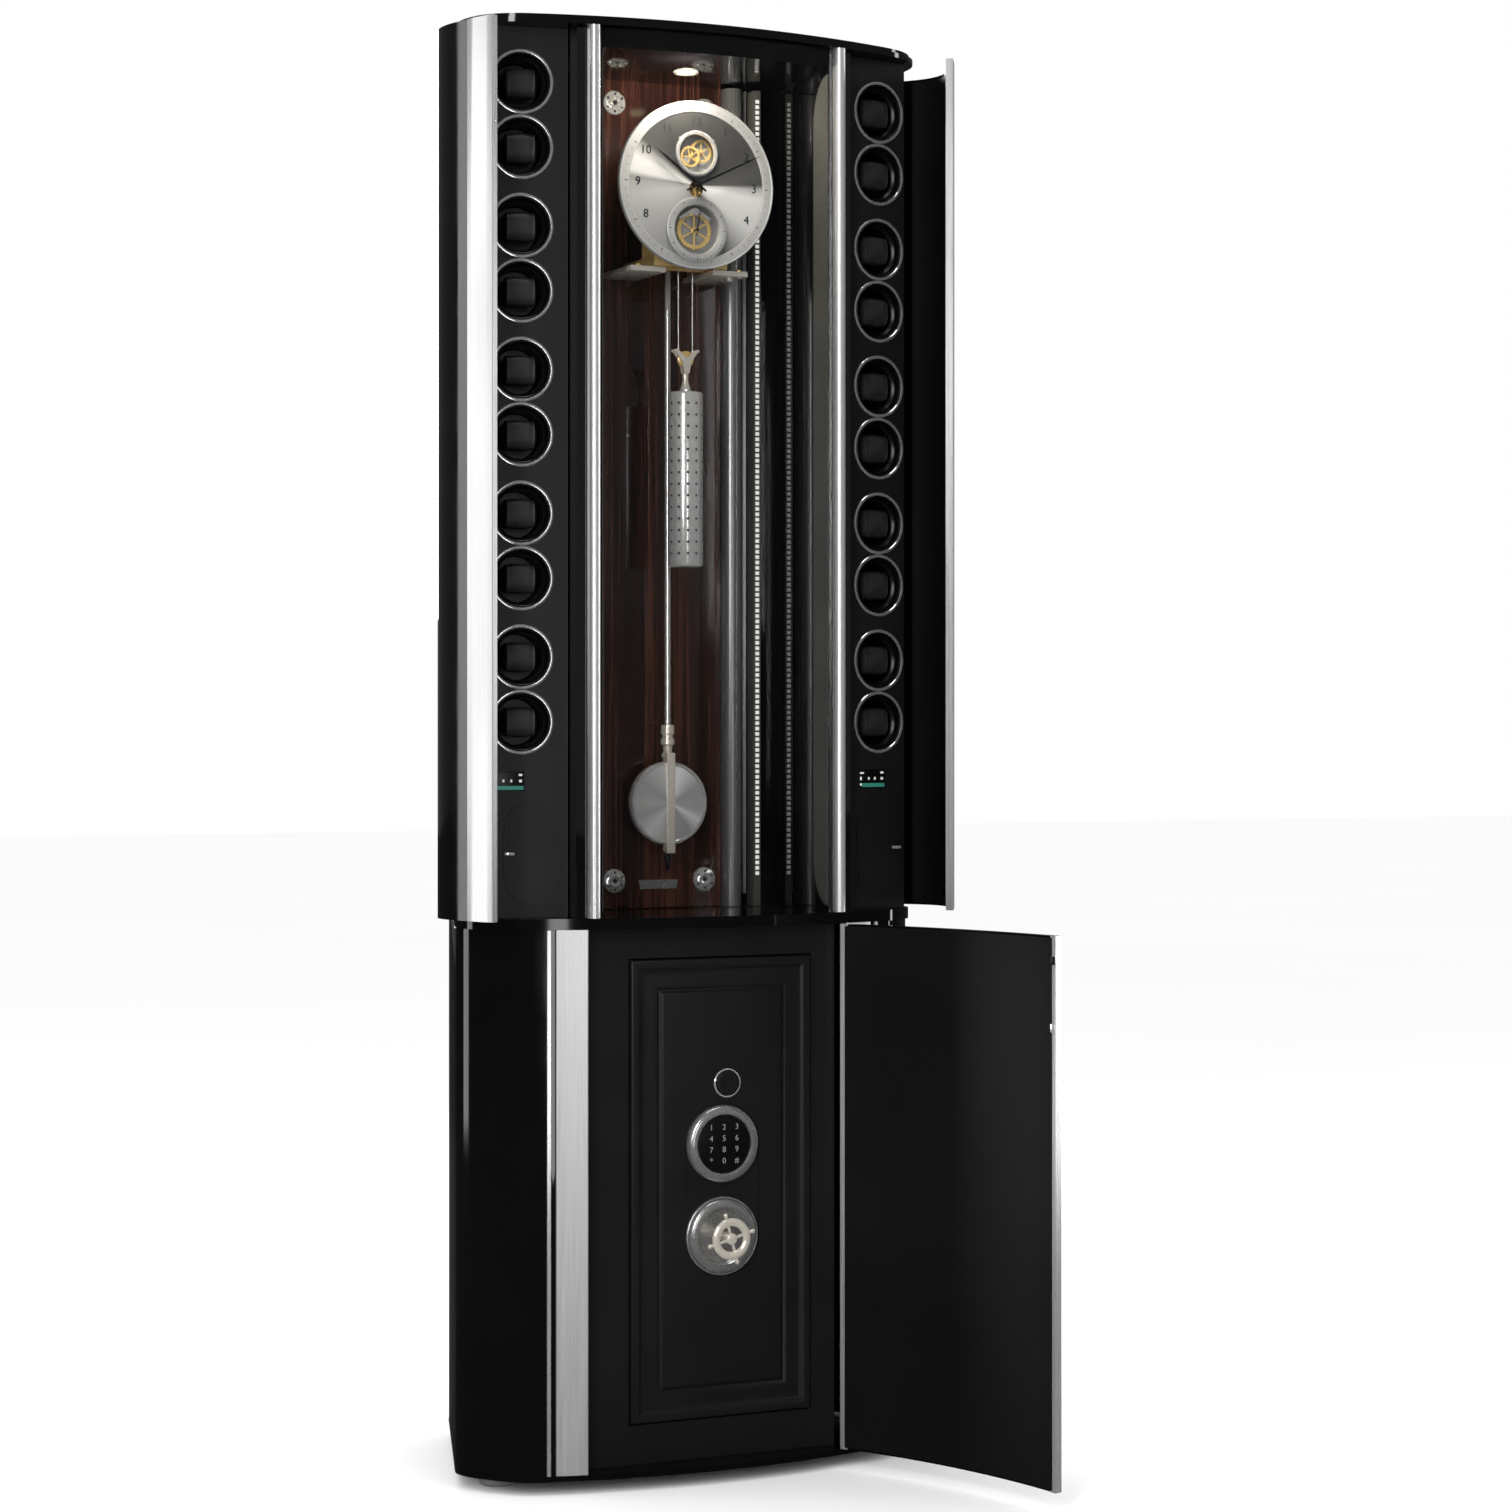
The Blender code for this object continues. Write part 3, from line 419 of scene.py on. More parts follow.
def prism(name, outline, low, high, finish, body="root", matrix=None,
          bevel=0.0008, smooth=30.0):
    """An upright piece with a flat outline and softened ends."""
    bm = bmesh.new()
    add_prism(bm, outline, low, high)
    ends = [e for e in bm.edges if abs(e.verts[0].co.z - e.verts[1].co.z) < 1e-9]
    if bevel:
        bmesh.ops.bevel(bm, geom=ends, offset=bevel, segments=2, profile=0.6, affect="EDGES",
                        clamp_overlap=True)
    return piece(name, mesh_of(name, bm), finish, body, matrix, smooth)


def cutter(mesh, matrix):
    """A mesh set up as a cutting tool."""
    made = bpy.data.objects.new("tool", mesh)
    bpy.context.scene.collection.objects.link(made)
    made.matrix_world = matrix
    return made


def cut(target, tool):
    """Cut a piece with a cutting tool and drop the tool."""
    step = target.modifiers.new("cut", "BOOLEAN")
    step.operation = "DIFFERENCE"
    step.object = tool
    step.solver = "EXACT"
    bpy.context.view_layer.update()
    seen = target.evaluated_get(bpy.context.evaluated_depsgraph_get())
    mesh = bpy.data.meshes.new_from_object(seen)
    target.modifiers.clear()
    target.data = mesh
    mesh.shade_smooth()
    mesh.set_sharp_from_angle(angle=math.radians(30))
    bpy.data.objects.remove(tool, do_unlink=True)
    return target


def tool_rod(radius, depth, matrix, steps=64):
    """A round cutting tool along local Z, centred on the matrix."""
    bm = bmesh.new()
    add_lathe(bm, [(0, depth / 2), (radius, depth / 2), (radius, -depth / 2), (0, -depth / 2)],
              steps)
    return cutter(mesh_of("tool", bm), matrix)


def lettering(name, words, size, finish, body, matrix, depth=0.0002):
    """A short mark made of the built-in font, as a mesh."""
    curve = bpy.data.curves.new(name, "FONT")
    curve.body = words
    curve.size = size
    curve.align_x = "CENTER"
    curve.align_y = "CENTER"
    curve.extrude = depth
    curve.resolution_u = 3
    source = bpy.data.objects.new(name + "_source", curve)
    bpy.context.scene.collection.objects.link(source)
    bpy.context.view_layer.update()
    seen = source.evaluated_get(bpy.context.evaluated_depsgraph_get())
    mesh = bpy.data.meshes.new_from_object(seen)
    bpy.data.objects.remove(source, do_unlink=True)
    mesh.materials.clear()
    return piece(name, mesh, finish, body, matrix)


# ---------------------------------------------------------------- plan outlines

def bow(x):
    """The front bow at x, from the strips' plane."""
    return BOW_APEX + BOW_RADIUS - math.sqrt(BOW_RADIUS ** 2 - x ** 2)


def half_front(start, handles, bow_steps=24):
    """Fine points along the bow and round the front corner, right half."""
    slope = math.asin(BOW_END / BOW_RADIUS)
    leave = Vector((math.cos(slope), math.sin(slope))) * handles[0]
    first = Vector((BOW_END, bow(BOW_END)))
    poles = (first, first + leave, CORNER + Vector((0.05, -1)) * handles[1], CORNER)
    points = []
    if start < BOW_END:
        step = (BOW_END - start) / bow_steps
        points = [Vector((start + step * i, bow(start + step * i))) for i in range(bow_steps)]
    for i in range(CORNER_STEPS + 1):
        t = i / CORNER_STEPS
        weights = ((1 - t) ** 3, 3 * t * (1 - t) ** 2, 3 * t * t * (1 - t), t ** 3)
        points.append(sum((p * w for p, w in zip(poles, weights)), Vector((0, 0))))
    return points


def inward(points, distance):
    """The same run of points, moved to the inner side."""
    moved = []
    for i, point in enumerate(points):
        along = points[min(i + 1, len(points) - 1)] - points[max(i - 1, 0)]
        moved.append(point + Vector((-along.y, along.x)).normalized() * distance)
    return moved


def laid(points, sign=1):
    """Plan points as (x, y) in the frame, on one side."""
    placed = [(sign * p[0], p[1] + FRONT_Y) for p in points]
    return placed if sign > 0 else list(reversed(placed))


def side_x(y):
    """The tapering side at depth y."""
    return CORNER.x + (REAR.x - CORNER.x) * (y - CORNER.y) / (REAR.y - CORNER.y)


def whole_plan(handles, grow=0.0, rear_y=None):
    """A board's whole outline."""
    rear = Vector((REAR.x + grow, rear_y or REAR.y))
    right = inward(half_front(0.0, handles), -grow) + [rear]
    right[0].x = 0.0
    return laid(right) + [(-x, y) for x, y in reversed(laid(right)[1:])]


# ---------------------------------------------------------------- case

def dress_cad(finishes):
    """Give carried-over CAD nodes their finishes."""
    for name, finish in finishes.items():
        shown = NODES[name]
        shown.data.materials.clear()
        shown.data.materials.append(M[finish])


def build_case():
    """Boards, sides, stiles, strips and glass in fine outline."""
    middle = tuple((a + b) / 2 for a, b in zip(CORNER_UPPER, CORNER_LOWER))
    made = prism("base_board_fine", whole_plan(CORNER_LOWER), BASE_LOW, BASE_TOP, "lacquer",
                 bevel=0.002)
    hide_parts("base_board")
    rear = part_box("waist_board")[1].y - FRONT_Y
    made = prism("waist_board_fine", whole_plan(middle, 0.0, rear), WAIST_LOW, WAIST_TOP,
                 "lacquer", bevel=0.003)
    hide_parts("waist_board")
    step_z = CAP_LOW + 0.0075
    made = prism("top_cap_lower_tier", whole_plan(CORNER_UPPER, 0.002), CAP_LOW, step_z,
                 "lacquer", bevel=0.0015)
    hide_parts("top_cap")
    prism("top_cap_upper_tier", whole_plan(CORNER_UPPER, -0.004), step_z, CAP_TOP, "lacquer",
          bevel=0.003)

    for side, sign in SIDES:
        low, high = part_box("lower_side_" + side)[0].z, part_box("lower_side_" + side)[1].z
        end_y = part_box("lower_side_" + side)[1].y - FRONT_Y
        outer = half_front(0.2661, CORNER_LOWER, 6) + [Vector((side_x(end_y), end_y))]
        inner = inward(outer, 0.016)
        inner[-1].y = end_y
        inner[0].x = outer[0].x
        made = prism("lower_side_fine_" + side, laid(outer + inner[::-1], sign), low, high,
                     "lacquer")
        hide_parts("lower_side_" + side)

        first, fold, last = STILE_INNER + 0.0002, STILE_OUTER - 0.0116, STILE_OUTER - 0.0003
        stile_rear = 0.024
        stile = [Vector((first, bow(first))), Vector((first + 0.0019, bow(first) - 0.0015)),
                 Vector((fold, bow(fold) - 0.001)), Vector((last, bow(last))),
                 Vector((last, stile_rear)), Vector((first, stile_rear))]
        made = prism("lower_stile_" + side, laid(stile, sign), low, high, "aluminium",
                     bevel=0.0003, smooth=12.0)
        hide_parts("lower_strip_" + side)
        bead = ((0.2725, -0.0016), (0.2775, -0.0016), (0.2778, 0.001), (0.2722, 0.001))
        prism("side_bead_" + side, laid([(x, bow(x) + depth) for x, depth in bead], sign), low,
              high, "bay_metal", bevel=0.0002)

        centre_x, half, strip_rear = 0.20575, 0.00875, 0.0101
        rounded = [(centre_x - half * math.cos(a), 0.002 - 0.008 * math.sin(a))
                   for a in (math.pi * i / 24 for i in range(25))]
        rounded += [(centre_x + half, strip_rear), (centre_x - half, strip_rear)]
        made = prism("bay_strip_fine_" + side, laid(rounded, sign), WAIST_TOP + 0.0003,
                     CAP_LOW - 0.0003, "bay_metal")
        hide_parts("bay_strip_" + side)

    pane_half, pane_front, pane_back = 0.1967, 0.004, 0.008
    across = [pane_half * (i / 24 - 1) for i in range(49)]
    pane = [(x, bow(x) + pane_back) for x in across]
    pane += [(x, bow(x) + pane_front) for x in reversed(across)]
    made = prism("bay_pane", laid(pane), WAIST_TOP + 0.001, CAP_LOW - 0.001, "glass",
                 bevel=0)
    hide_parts("bay_glass")

    foot_profile = [(0, 0.0196), (0.026, 0.0196), (0.028, 0.015), (0.03, 0.0135),
                    (0.03, 0.003), (0.0285, 0.001), (0.027, 0), (0, 0)]
    for name in ("front_left", "front_right", "back_left", "back_right"):
        low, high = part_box("foot_" + name)
        middle = (low + high) / 2
        foot = lathe("foot_fine_" + name, foot_profile, "chrome", "root",
                     Matrix.Translation((middle.x, middle.y, 0)), 72)
        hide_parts("foot_" + name)
    dress_cad({"back_panel": "lacquer", "upper_side_left": "lacquer", "upper_side_right": "lacquer",
               "bay_wall_left": "mirror", "bay_wall_right": "mirror",
               "winder_panel_left": "satin", "winder_panel_right": "satin"})


# ---------------------------------------------------------------- doors

def hung(joint, angle):
    """The matrix that swings a closed door to where it stands at rest."""
    pivot = Vector(JOINTS[joint]["pos_m"])
    pivot.z = 0
    return (Matrix.Translation(pivot) @ Matrix.Rotation(math.radians(angle), 4, "Z")
            @ Matrix.Translation(-pivot))


def build_wings():
    """The curved wing doors with their wide metal strips."""
    free_edge, strip_end, thickness, lining_back = 0.2225, 0.277, 0.008, 0.0087
    edge_x, edge_near, edge_far = 0.2214, 0.2206, 0.2223
    seal_x, seal_width, catch_x = 0.233, 0.005, 0.246
    for side, sign in SIDES:
        body = "wing_door_" + side
        joint = JOINTS[body + "_hinge"]
        closed = joint["range_deg"][1] if side == "left" else joint["range_deg"][0]
        swing = hung(body + "_hinge", -closed)
        low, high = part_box(body)[0].z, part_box(body)[1].z
        outer = half_front(free_edge, CORNER_UPPER, 12)
        reach = [point for point in outer if point.x < strip_end]
        outer[-1] = Vector((CORNER.x, CORNER.y - 0.002))
        shell = prism(body + "_shell", laid(outer + inward(outer, thickness)[::-1], sign), low, high,
                      "lacquer", body, swing)
        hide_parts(body)
        lining = inward(outer[:-3], thickness + 0.0001)[1:]
        prism(body + "_lining", laid(lining + inward(outer[:-3], lining_back)[1:][::-1], sign),
              low + 0.004, high - 0.004, "door_inner", body, swing, bevel=0)
        face = inward(reach, -0.0016)
        face[0] = Vector((0.2216, face[0].y))
        band = face + inward(reach, -0.0001)[::-1]
        prism(body + "_strip", laid(band, sign), low, high, "aluminium", body,
              swing, bevel=0.0003)
        edge_y = bow(edge_x)
        edge = [(edge_near, edge_y - 0.0016), (edge_far, edge_y - 0.0018),
                (edge_far, edge_y + 0.0095), (edge_near, edge_y + 0.0095)]
        prism(body + "_edge", laid(edge, sign), low, high, "bay_metal", body, swing,
              bevel=0.0003)
        seal_y = bow(seal_x)
        seal = [(seal_x, seal_y + 0.0087), (seal_x + seal_width, seal_y + 0.01),
                (seal_x + seal_width, seal_y + 0.0115), (seal_x, seal_y + 0.0108)]
        prism(body + "_seal", laid(seal, sign), low + 0.02, high - 0.1, "bay_metal", body,
              swing, bevel=0.0003)
        for where, z in (("low", low + 0.035), ("high", high - 0.035)):
            spot = Matrix.Translation(at(sign * catch_x, bow(catch_x) + 0.0088, z))
            catch = swing @ spot @ Matrix.Rotation(-math.pi / 2, 4, "X")
            lathe(f"{body}_catch_{where}", [(0, 0.0028), (0.003, 0.0026), (0.0042, 0.001),
                                            (0.0042, 0), (0, 0)],
                  "chrome", body, catch, 24)


def build_lower_door():
    """The wide bowed door with metal edges and a satin inner face."""
    body = "lower_door"
    swing = hung("lower_door_hinge", -JOINTS["lower_door_hinge"]["range_deg"][0])
    low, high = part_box(body)[0].z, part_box(body)[1].z
    edge, thickness, lined = DOOR_HALF, 0.0112, 0.965
    across = [edge * (i / 24 - 1) for i in range(49)]
    front = [(x, bow(x)) for x in across]
    back = [(x, bow(x) + thickness) for x in reversed(across)]
    shell = prism("lower_door_shell", laid(front + back), low, high, "lacquer", body,
                  swing)
    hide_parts(body)
    inner = [(x * lined, bow(x) + 0.0119) for x in across]
    skin = [(x * lined, bow(x) + 0.0113) for x in reversed(across)]
    prism("lower_door_lining", laid(inner[::-1] + skin[::-1]), low + 0.003, high - 0.003,
          "door_inner", body, swing, bevel=0)
    for side, sign in SIDES:
        tip, near, lip = edge + 0.0004, edge - 0.0113, edge - 0.0004
        bar = [(near, bow(near) + 0.0106), (near, bow(near) + 0.0128), (tip, bow(tip) + 0.0128),
               (tip, bow(tip) - 0.0008), (near, bow(near) - 0.0008), (near, bow(near) + 0.0006),
               (lip, bow(tip) + 0.0006), (lip, bow(tip) + 0.011)]
        prism("lower_door_edge_" + side, laid(bar, sign), low, high, "bay_metal", body,
              swing, bevel=0.0002)
    for where, z in (("keeper", high - 0.135), ("notch", high - 0.036)):
        matrix = swing @ Matrix.Translation(at(0.005 - edge, bow(edge) + 0.0128, z))
        box("lower_door_" + where, (-0.004, 0, -0.006), (0.004, 0.0016, 0.006),
            "chrome" if where == "keeper" else "cup", body, matrix, 0.0004)


# ---------------------------------------------------------------- winders

def on_panel(side, sign, along, up, out=0.0):
    """A frame on a winder panel's face: along it outwards from the cups' line, up, and proud."""
    centre = Vector(JOINTS[f"rotor_{side}_01_spin"]["pos_m"])
    turn = sign * PANEL_TILT
    outward = Vector((math.cos(turn), math.sin(turn), 0)) * (sign * along)
    normal = Vector((math.sin(turn), -math.cos(turn), 0))
    return facing(Vector((centre.x, centre.y, up)) + outward + normal * out, turn)


def squared(part, power):
    """A sine or cosine pushed outwards, so that a circle turns into a rounded square."""
    return math.copysign(abs(part) ** power, part)


def cushion_mesh():
    """A stuffed leather watch cushion: a lying rounded roll, crowned, with pulled-in ends."""
    bm = bmesh.new()
    half_length, half_height, half_depth = 0.0245, 0.0226, 0.02
    rounds, lengths = 28, 14
    rings = []
    for i in range(lengths + 1):
        x = -1 + 2 * i / lengths
        swell = 1 - 0.07 * x * x - 0.3 * max(0.0, abs(x) - 0.86) / 0.14
        seam = 0.0008 * math.exp(-((abs(x) - 0.72) / 0.035) ** 2)
        ring = []
        for k in range(rounds):
            a = 2 * math.pi * k / rounds
            y = squared(math.sin(a), 0.62) * half_height * swell
            z = squared(math.cos(a), 0.62) * half_depth * swell
            ring.append(bm.verts.new((x * half_length, y - math.copysign(seam, y), z - seam)))
        rings.append(ring)
    for near, far in zip(rings, rings[1:]):
        for k in range(rounds):
            bm.faces.new((near[k], near[(k + 1) % rounds], far[(k + 1) % rounds], far[k]))
    for ring in (rings[0], rings[-1]):
        bm.faces.new(ring)
    return mesh_of("cushion", bm)


def build_winders():
    """Cups, cushions, chrome rings, control boards and oval covers."""
    cup = [(0, -0.056), (0.0345, -0.056), (0.036, -0.054), (0.036, -0.015), (0.04, -0.012),
           (0.0412, -0.01), (0.0412, -0.0004), (0.042, 0.0002), (0.043, -0.0004),
           (0.043, -0.0595), (0, -0.0595)]
    ring = [(0.044, 0.0003), (0.0448, 0.0013), (0.0466, 0.0016), (0.0482, 0.0012),
            (0.0489, 0.0003)]
    stem = [(0, -0.04), (0.013, -0.04), (0.015, -0.0555), (0, -0.0555)]
    shared = cushion_mesh()
    shared.materials.append(M["leather"])
    for side, sign in SIDES:
        for name in ROTORS[side]:
            z = JOINTS[name + "_spin"]["pos_m"][2]
            place = on_panel(side, sign, 0, z)
            fine = lathe(name + "_cup", cup, "cup", name, place, 72)
            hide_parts(name)
            roll = piece(name + "_cushion", shared.copy(), "leather", name,
                         place @ Matrix.Translation((0, 0, -0.0225)), 60.0)
            lathe(name + "_stem", stem, "cup", name, place, 32)
            lathe(name + "_bezel", ring, "ring", "root", place, 96, closed=True)
        build_controls(side, sign)


def build_controls(side, sign):
    """The lit control board, its keys, the oval cover and its pull."""
    board_at, oval_at, pull_at = {"left": (0.021, -0.016, 0.019),
                                  "right": (-0.014, 0.0, 0.033)}[side]
    board_z, oval_z, pull_z = 1.0695, 0.962, 0.96
    place = on_panel(side, sign, board_at, board_z, 0.0001)
    box("control_board_" + side, (-0.025, -0.015, 0), (0.025, 0.014, 0.0014), "cup",
        matrix=place)
    box("control_display_" + side, (-0.02, -0.0135, 0.0014), (0.0238, -0.0075, 0.0021),
        "display", matrix=place, bevel=0.0002)
    bm = bmesh.new()
    for x, y, w, h in ((-0.0205, 0.0085, 0.0075, 0.0028), (-0.0225, 0.0000, 0.0032, 0.0055),
                       (-0.0225, -0.0095, 0.0032, 0.004), (-0.007, 0.0000, 0.003, 0.0042),
                       (0.005, 0.0000, 0.003, 0.0042), (0.019, 0.009, 0.0055, 0.0035),
                       (0.019, -0.0002, 0.0045, 0.0042)):
        add_box(bm, (x - w / 2, y - h / 2, 0.0013), (x + w / 2, y + h / 2, 0.0024), None, 0.0003)
    piece("control_keys_" + side, mesh_of("keys", bm), "white", "root", place)

    place = on_panel(side, sign, oval_at, oval_z)
    for label, grow, low, high in (("cover", 0.0, 0.0, 0.0016), ("inlay", -0.006, 0.0016, 0.0022)):
        bm = bmesh.new()
        oval = [(squared(math.cos(a), 0.72) * (0.044 + grow),
                 squared(math.sin(a), 0.72) * (0.0775 + grow))
                for a in (2 * math.pi * i / 96 for i in range(96))]
        add_prism(bm, oval, low, high)
        rim = [e for e in bm.edges if abs(e.verts[0].co.z - high) < 1e-9
               and abs(e.verts[1].co.z - high) < 1e-9]
        bmesh.ops.bevel(bm, geom=rim, offset=0.0005, segments=2, affect="EDGES")
        piece(f"oval_{label}_{side}", mesh_of("oval", bm), "satin", "root", place)
    box("cover_pull_" + side, (-0.0075, -0.0022, 0.0), (0.0075, 0.0022, 0.004), "chrome",
        matrix=on_panel(side, sign, pull_at, pull_z, 0.0016), bevel=0.0009)


# ---------------------------------------------------------------- safe

def add_framed(bm, steps, middle):
    """Add nested rectangles: (half width, low z, high z, y) from the outside in, closed by a face."""
    loops = []
    for half, low, high, y in steps:
        loops.append([bm.verts.new((middle + x, FRONT_Y + y, z)) for x, z in
                      ((-half, low), (half, low), (half, high), (-half, high))])
    for outer, inner in zip(loops, loops[1:]):
        for i in range(4):
            j = (i + 1) % 4
            bm.faces.new((outer[i], outer[j], inner[j], inner[i]))
    bm.faces.new(loops[0])
    bm.faces.new(loops[-1])


SAFE_LOW, SAFE_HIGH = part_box("safe_door")
SAFE_X, SAFE_HALF = (SAFE_LOW.x + SAFE_HIGH.x) / 2, (SAFE_HIGH.x - SAFE_LOW.x) / 2
KEYPAD_LOW, KEYPAD_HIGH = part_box("safe_keypad")
KEYPAD_Z = (KEYPAD_LOW.z + KEYPAD_HIGH.z) / 2
HANDLE = Vector(JOINTS["safe_handle_turn"]["pos_m"])
RECESS_Y, RECESS_RADIUS = KEYPAD_HIGH.y + 0.0003 - FRONT_Y, 0.0625
BUTTON_LOW, BUTTON_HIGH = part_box("safe_button")
BUTTON_X, BUTTON_Z = (BUTTON_LOW.x + BUTTON_HIGH.x) / 2, (BUTTON_LOW.z + BUTTON_HIGH.z) / 2


def moulding_steps(front):
    """The door front's nested rectangles, from its edge in over the raised mouldings."""
    low_z, high_z = SAFE_LOW.z, SAFE_HIGH.z
    steps = [(SAFE_HALF, low_z, high_z, front + 0.011), (SAFE_HALF, low_z, high_z, front + 0.004)]

    def ring(inset, depth):
        steps.append((SAFE_HALF - inset, low_z + inset, high_z - inset, front + depth))

    def sweep(start, end, from_depth, to_depth, count):
        for i in range(1, count + 1):
            t = i / count
            ring(start + (end - start) * t,
                 from_depth + (to_depth - from_depth) * (3 * t * t - 2 * t ** 3))

    edge_round = 0.004
    for i in range(5):
        a = math.pi / 2 * i / 4
        ring(edge_round * (1 - math.cos(a)), edge_round * (1 - math.sin(a)))
    ring(0.011, 0.0)
    sweep(0.011, 0.02, 0.0, 0.0042, 6)
    sweep(0.02, 0.043, 0.0042, 0.0015, 4)
    sweep(0.043, 0.047, 0.0015, 0.004, 4)
    sweep(0.047, 0.054, 0.004, 0.0, 6)
    return steps


def build_safe_door():
    """The moulded front with its recess and the button's well, and the body behind it."""
    front = SAFE_LOW.y - FRONT_Y
    bm = bmesh.new()
    add_framed(bm, moulding_steps(front), SAFE_X)
    door = piece("safe_door_fine", mesh_of("safe_door_fine", bm), "safe", "safe_door",
                 None, 30.0)
    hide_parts("safe_door")
    body_half, body_inset = 0.1445, 0.0055
    box("safe_door_body", (SAFE_X - body_half, SAFE_LOW.y + 0.0125, SAFE_LOW.z + body_inset),
        (SAFE_X + body_half, SAFE_HIGH.y, SAFE_HIGH.z - body_inset), "safe", "safe_door",
        None, 0.002)
    half_turn = [math.pi * k / 48 for k in range(49)]
    outline = [(RECESS_RADIUS * math.cos(a), KEYPAD_Z + RECESS_RADIUS * math.sin(a))
               for a in half_turn]
    outline += [(RECESS_RADIUS * math.cos(a), HANDLE.z + RECESS_RADIUS * math.sin(a))
                for a in (math.pi + turn for turn in half_turn)]
    reach = 0.05
    bm = bmesh.new()
    add_prism(bm, outline, -reach, reach)
    recess = Matrix.Translation((SAFE_X, FRONT_Y + RECESS_Y - reach, 0))
    cut(door, cutter(mesh_of("tool", bm), recess @ Matrix.Rotation(math.pi / 2, 4, "X")))
    cut(door, tool_rod(0.0205, 0.06, facing(at(BUTTON_X, front, BUTTON_Z))))


def build_keypad():
    """The steel ring and the dark face with its printed keys."""
    pad = facing(at(SAFE_X, RECESS_Y - 0.0003, KEYPAD_Z))
    rim = [(0.0448, 0.008), (0.0453, 0.0108), (0.0463, 0.0122), (0.049, 0.0125),
           (0.0548, 0.0112), (0.0585, 0.008), (0.0595, 0.005), (0.0595, 0), (0.0448, 0)]
    made = lathe("keypad_ring", rim, "steel", "safe_door", pad, 128, closed=True)
    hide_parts("safe_keypad")
    face_top = 0.0092
    face = [(0, face_top), (0.0432, face_top), (0.0447, 0.0086), (0.0447, 0.001), (0, 0.001)]
    lathe("keypad_face", face, "cup", "safe_door", pad, 96)
    across, down, size = 0.0215, 0.0172, 0.0125
    for index, mark in enumerate("123456789*0#"):
        x, z = (index % 3 - 1) * across, (1.5 - index // 3) * down
        lettering("key_mark_%02d" % (index + 1), mark, size, "key_print", "safe_door",
                  pad @ Matrix.Translation((x, z, face_top)))


def build_rose():
    """The dished plate behind the handwheel and its thin rim."""
    rose = facing(at(SAFE_X, RECESS_Y - 0.0002, HANDLE.z))
    dish = [(0.009, 0.0006), (0.03, 0.001), (0.04, 0.0026), (0.042, 0.0075),
            (0.044, 0.0092), (0.05, 0.0094), (0.055, 0.007), (0.057, 0.0035),
            (0.057, 0.0001), (0.009, 0.0001)]
    rim = [(0.0575, 0.0001), (0.0575, 0.0028), (0.0585, 0.0035), (0.06, 0.003),
           (0.0605, 0.0001)]
    for name, profile in (("handle_rose", dish), ("rose_rim", rim)):
        lathe(name, profile, "steel", "safe_door", rose, 128, closed=True)


def build_button():
    """The round button in its chrome trim."""
    button = facing(Vector((BUTTON_X, BUTTON_HIGH.y, BUTTON_Z)))
    cap = [(0, 0.0142), (0.012, 0.0143), (0.0165, 0.015), (0.0185, 0.0142), (0.0192, 0.0125),
           (0.0192, 0), (0, 0)]
    made = lathe("button_cap", cap, "safe", "safe_button", button, 72)
    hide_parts("safe_button")
    trim = [(0.0196, 0.009), (0.02, 0.0105), (0.0212, 0.0108), (0.0222, 0.0102),
            (0.0224, 0.0089), (0.021, 0.008)]
    lathe("button_trim", trim, "chrome", "safe_door", button, 96, closed=True)


def build_safe():
    """The safe's door, keypad, handwheel and button."""
    build_safe_door()
    build_keypad()
    build_rose()
    build_handwheel(HANDLE)
    build_button()
    dress_cad({"safe_body": "safe"})


def build_handwheel(centre):
    """The handwheel: rounded rim, hub, crossed spokes and grip pins."""
    bm = bmesh.new()
    matrix = facing(centre)
    rim = [(0.0257 + 0.0063 * math.cos(a), 0.0042 * math.sin(a) - 0.0007)
           for a in (2 * math.pi * i / 20 for i in range(20))]
    add_lathe(bm, rim, 72, closed=True)
    hub = [(0, 0.003), (0.006, 0.0032), (0.0085, 0.0018), (0.009, 0), (0.009, -0.011),
           (0.0078, -0.012), (0.0078, -0.028), (0.005, -0.029), (0.005, -0.06), (0, -0.06)]
    add_lathe(bm, hub, 48)
    for k in range(4):
        spoke = Matrix.Rotation(math.radians(15 + 90 * k), 4, "Z")
        add_box(bm, (-0.0022, 0.006, -0.003), (0.0022, 0.0215, 0.0004), spoke, 0.0006)
        pin = spoke @ Matrix.Translation((0, 0.0305, -0.0007)) @ Matrix.Rotation(-math.pi / 2, 4,
                                                                                "X")
        add_lathe(bm, [(0, 0.01), (0.0022, 0.0098), (0.0032, 0.0085), (0.0034, 0.0055),
                       (0.0026, 0.0035), (0.0026, 0), (0, 0)], 28, matrix=pin)
    made = piece("handwheel", mesh_of("handwheel", bm), "warm_chrome", "safe_handle",
                 matrix)
    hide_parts("safe_handle")


# ---------------------------------------------------------------- clock

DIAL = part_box("dial")
DIAL_Z = JOINTS["minute_hand_turn"]["pos_m"][2]
DIAL_Y = DIAL[0].y - FRONT_Y
APERTURE_Z, SECONDS_Z = DIAL_Z + 0.049, JOINTS["seconds_hand_turn"]["pos_m"][2]


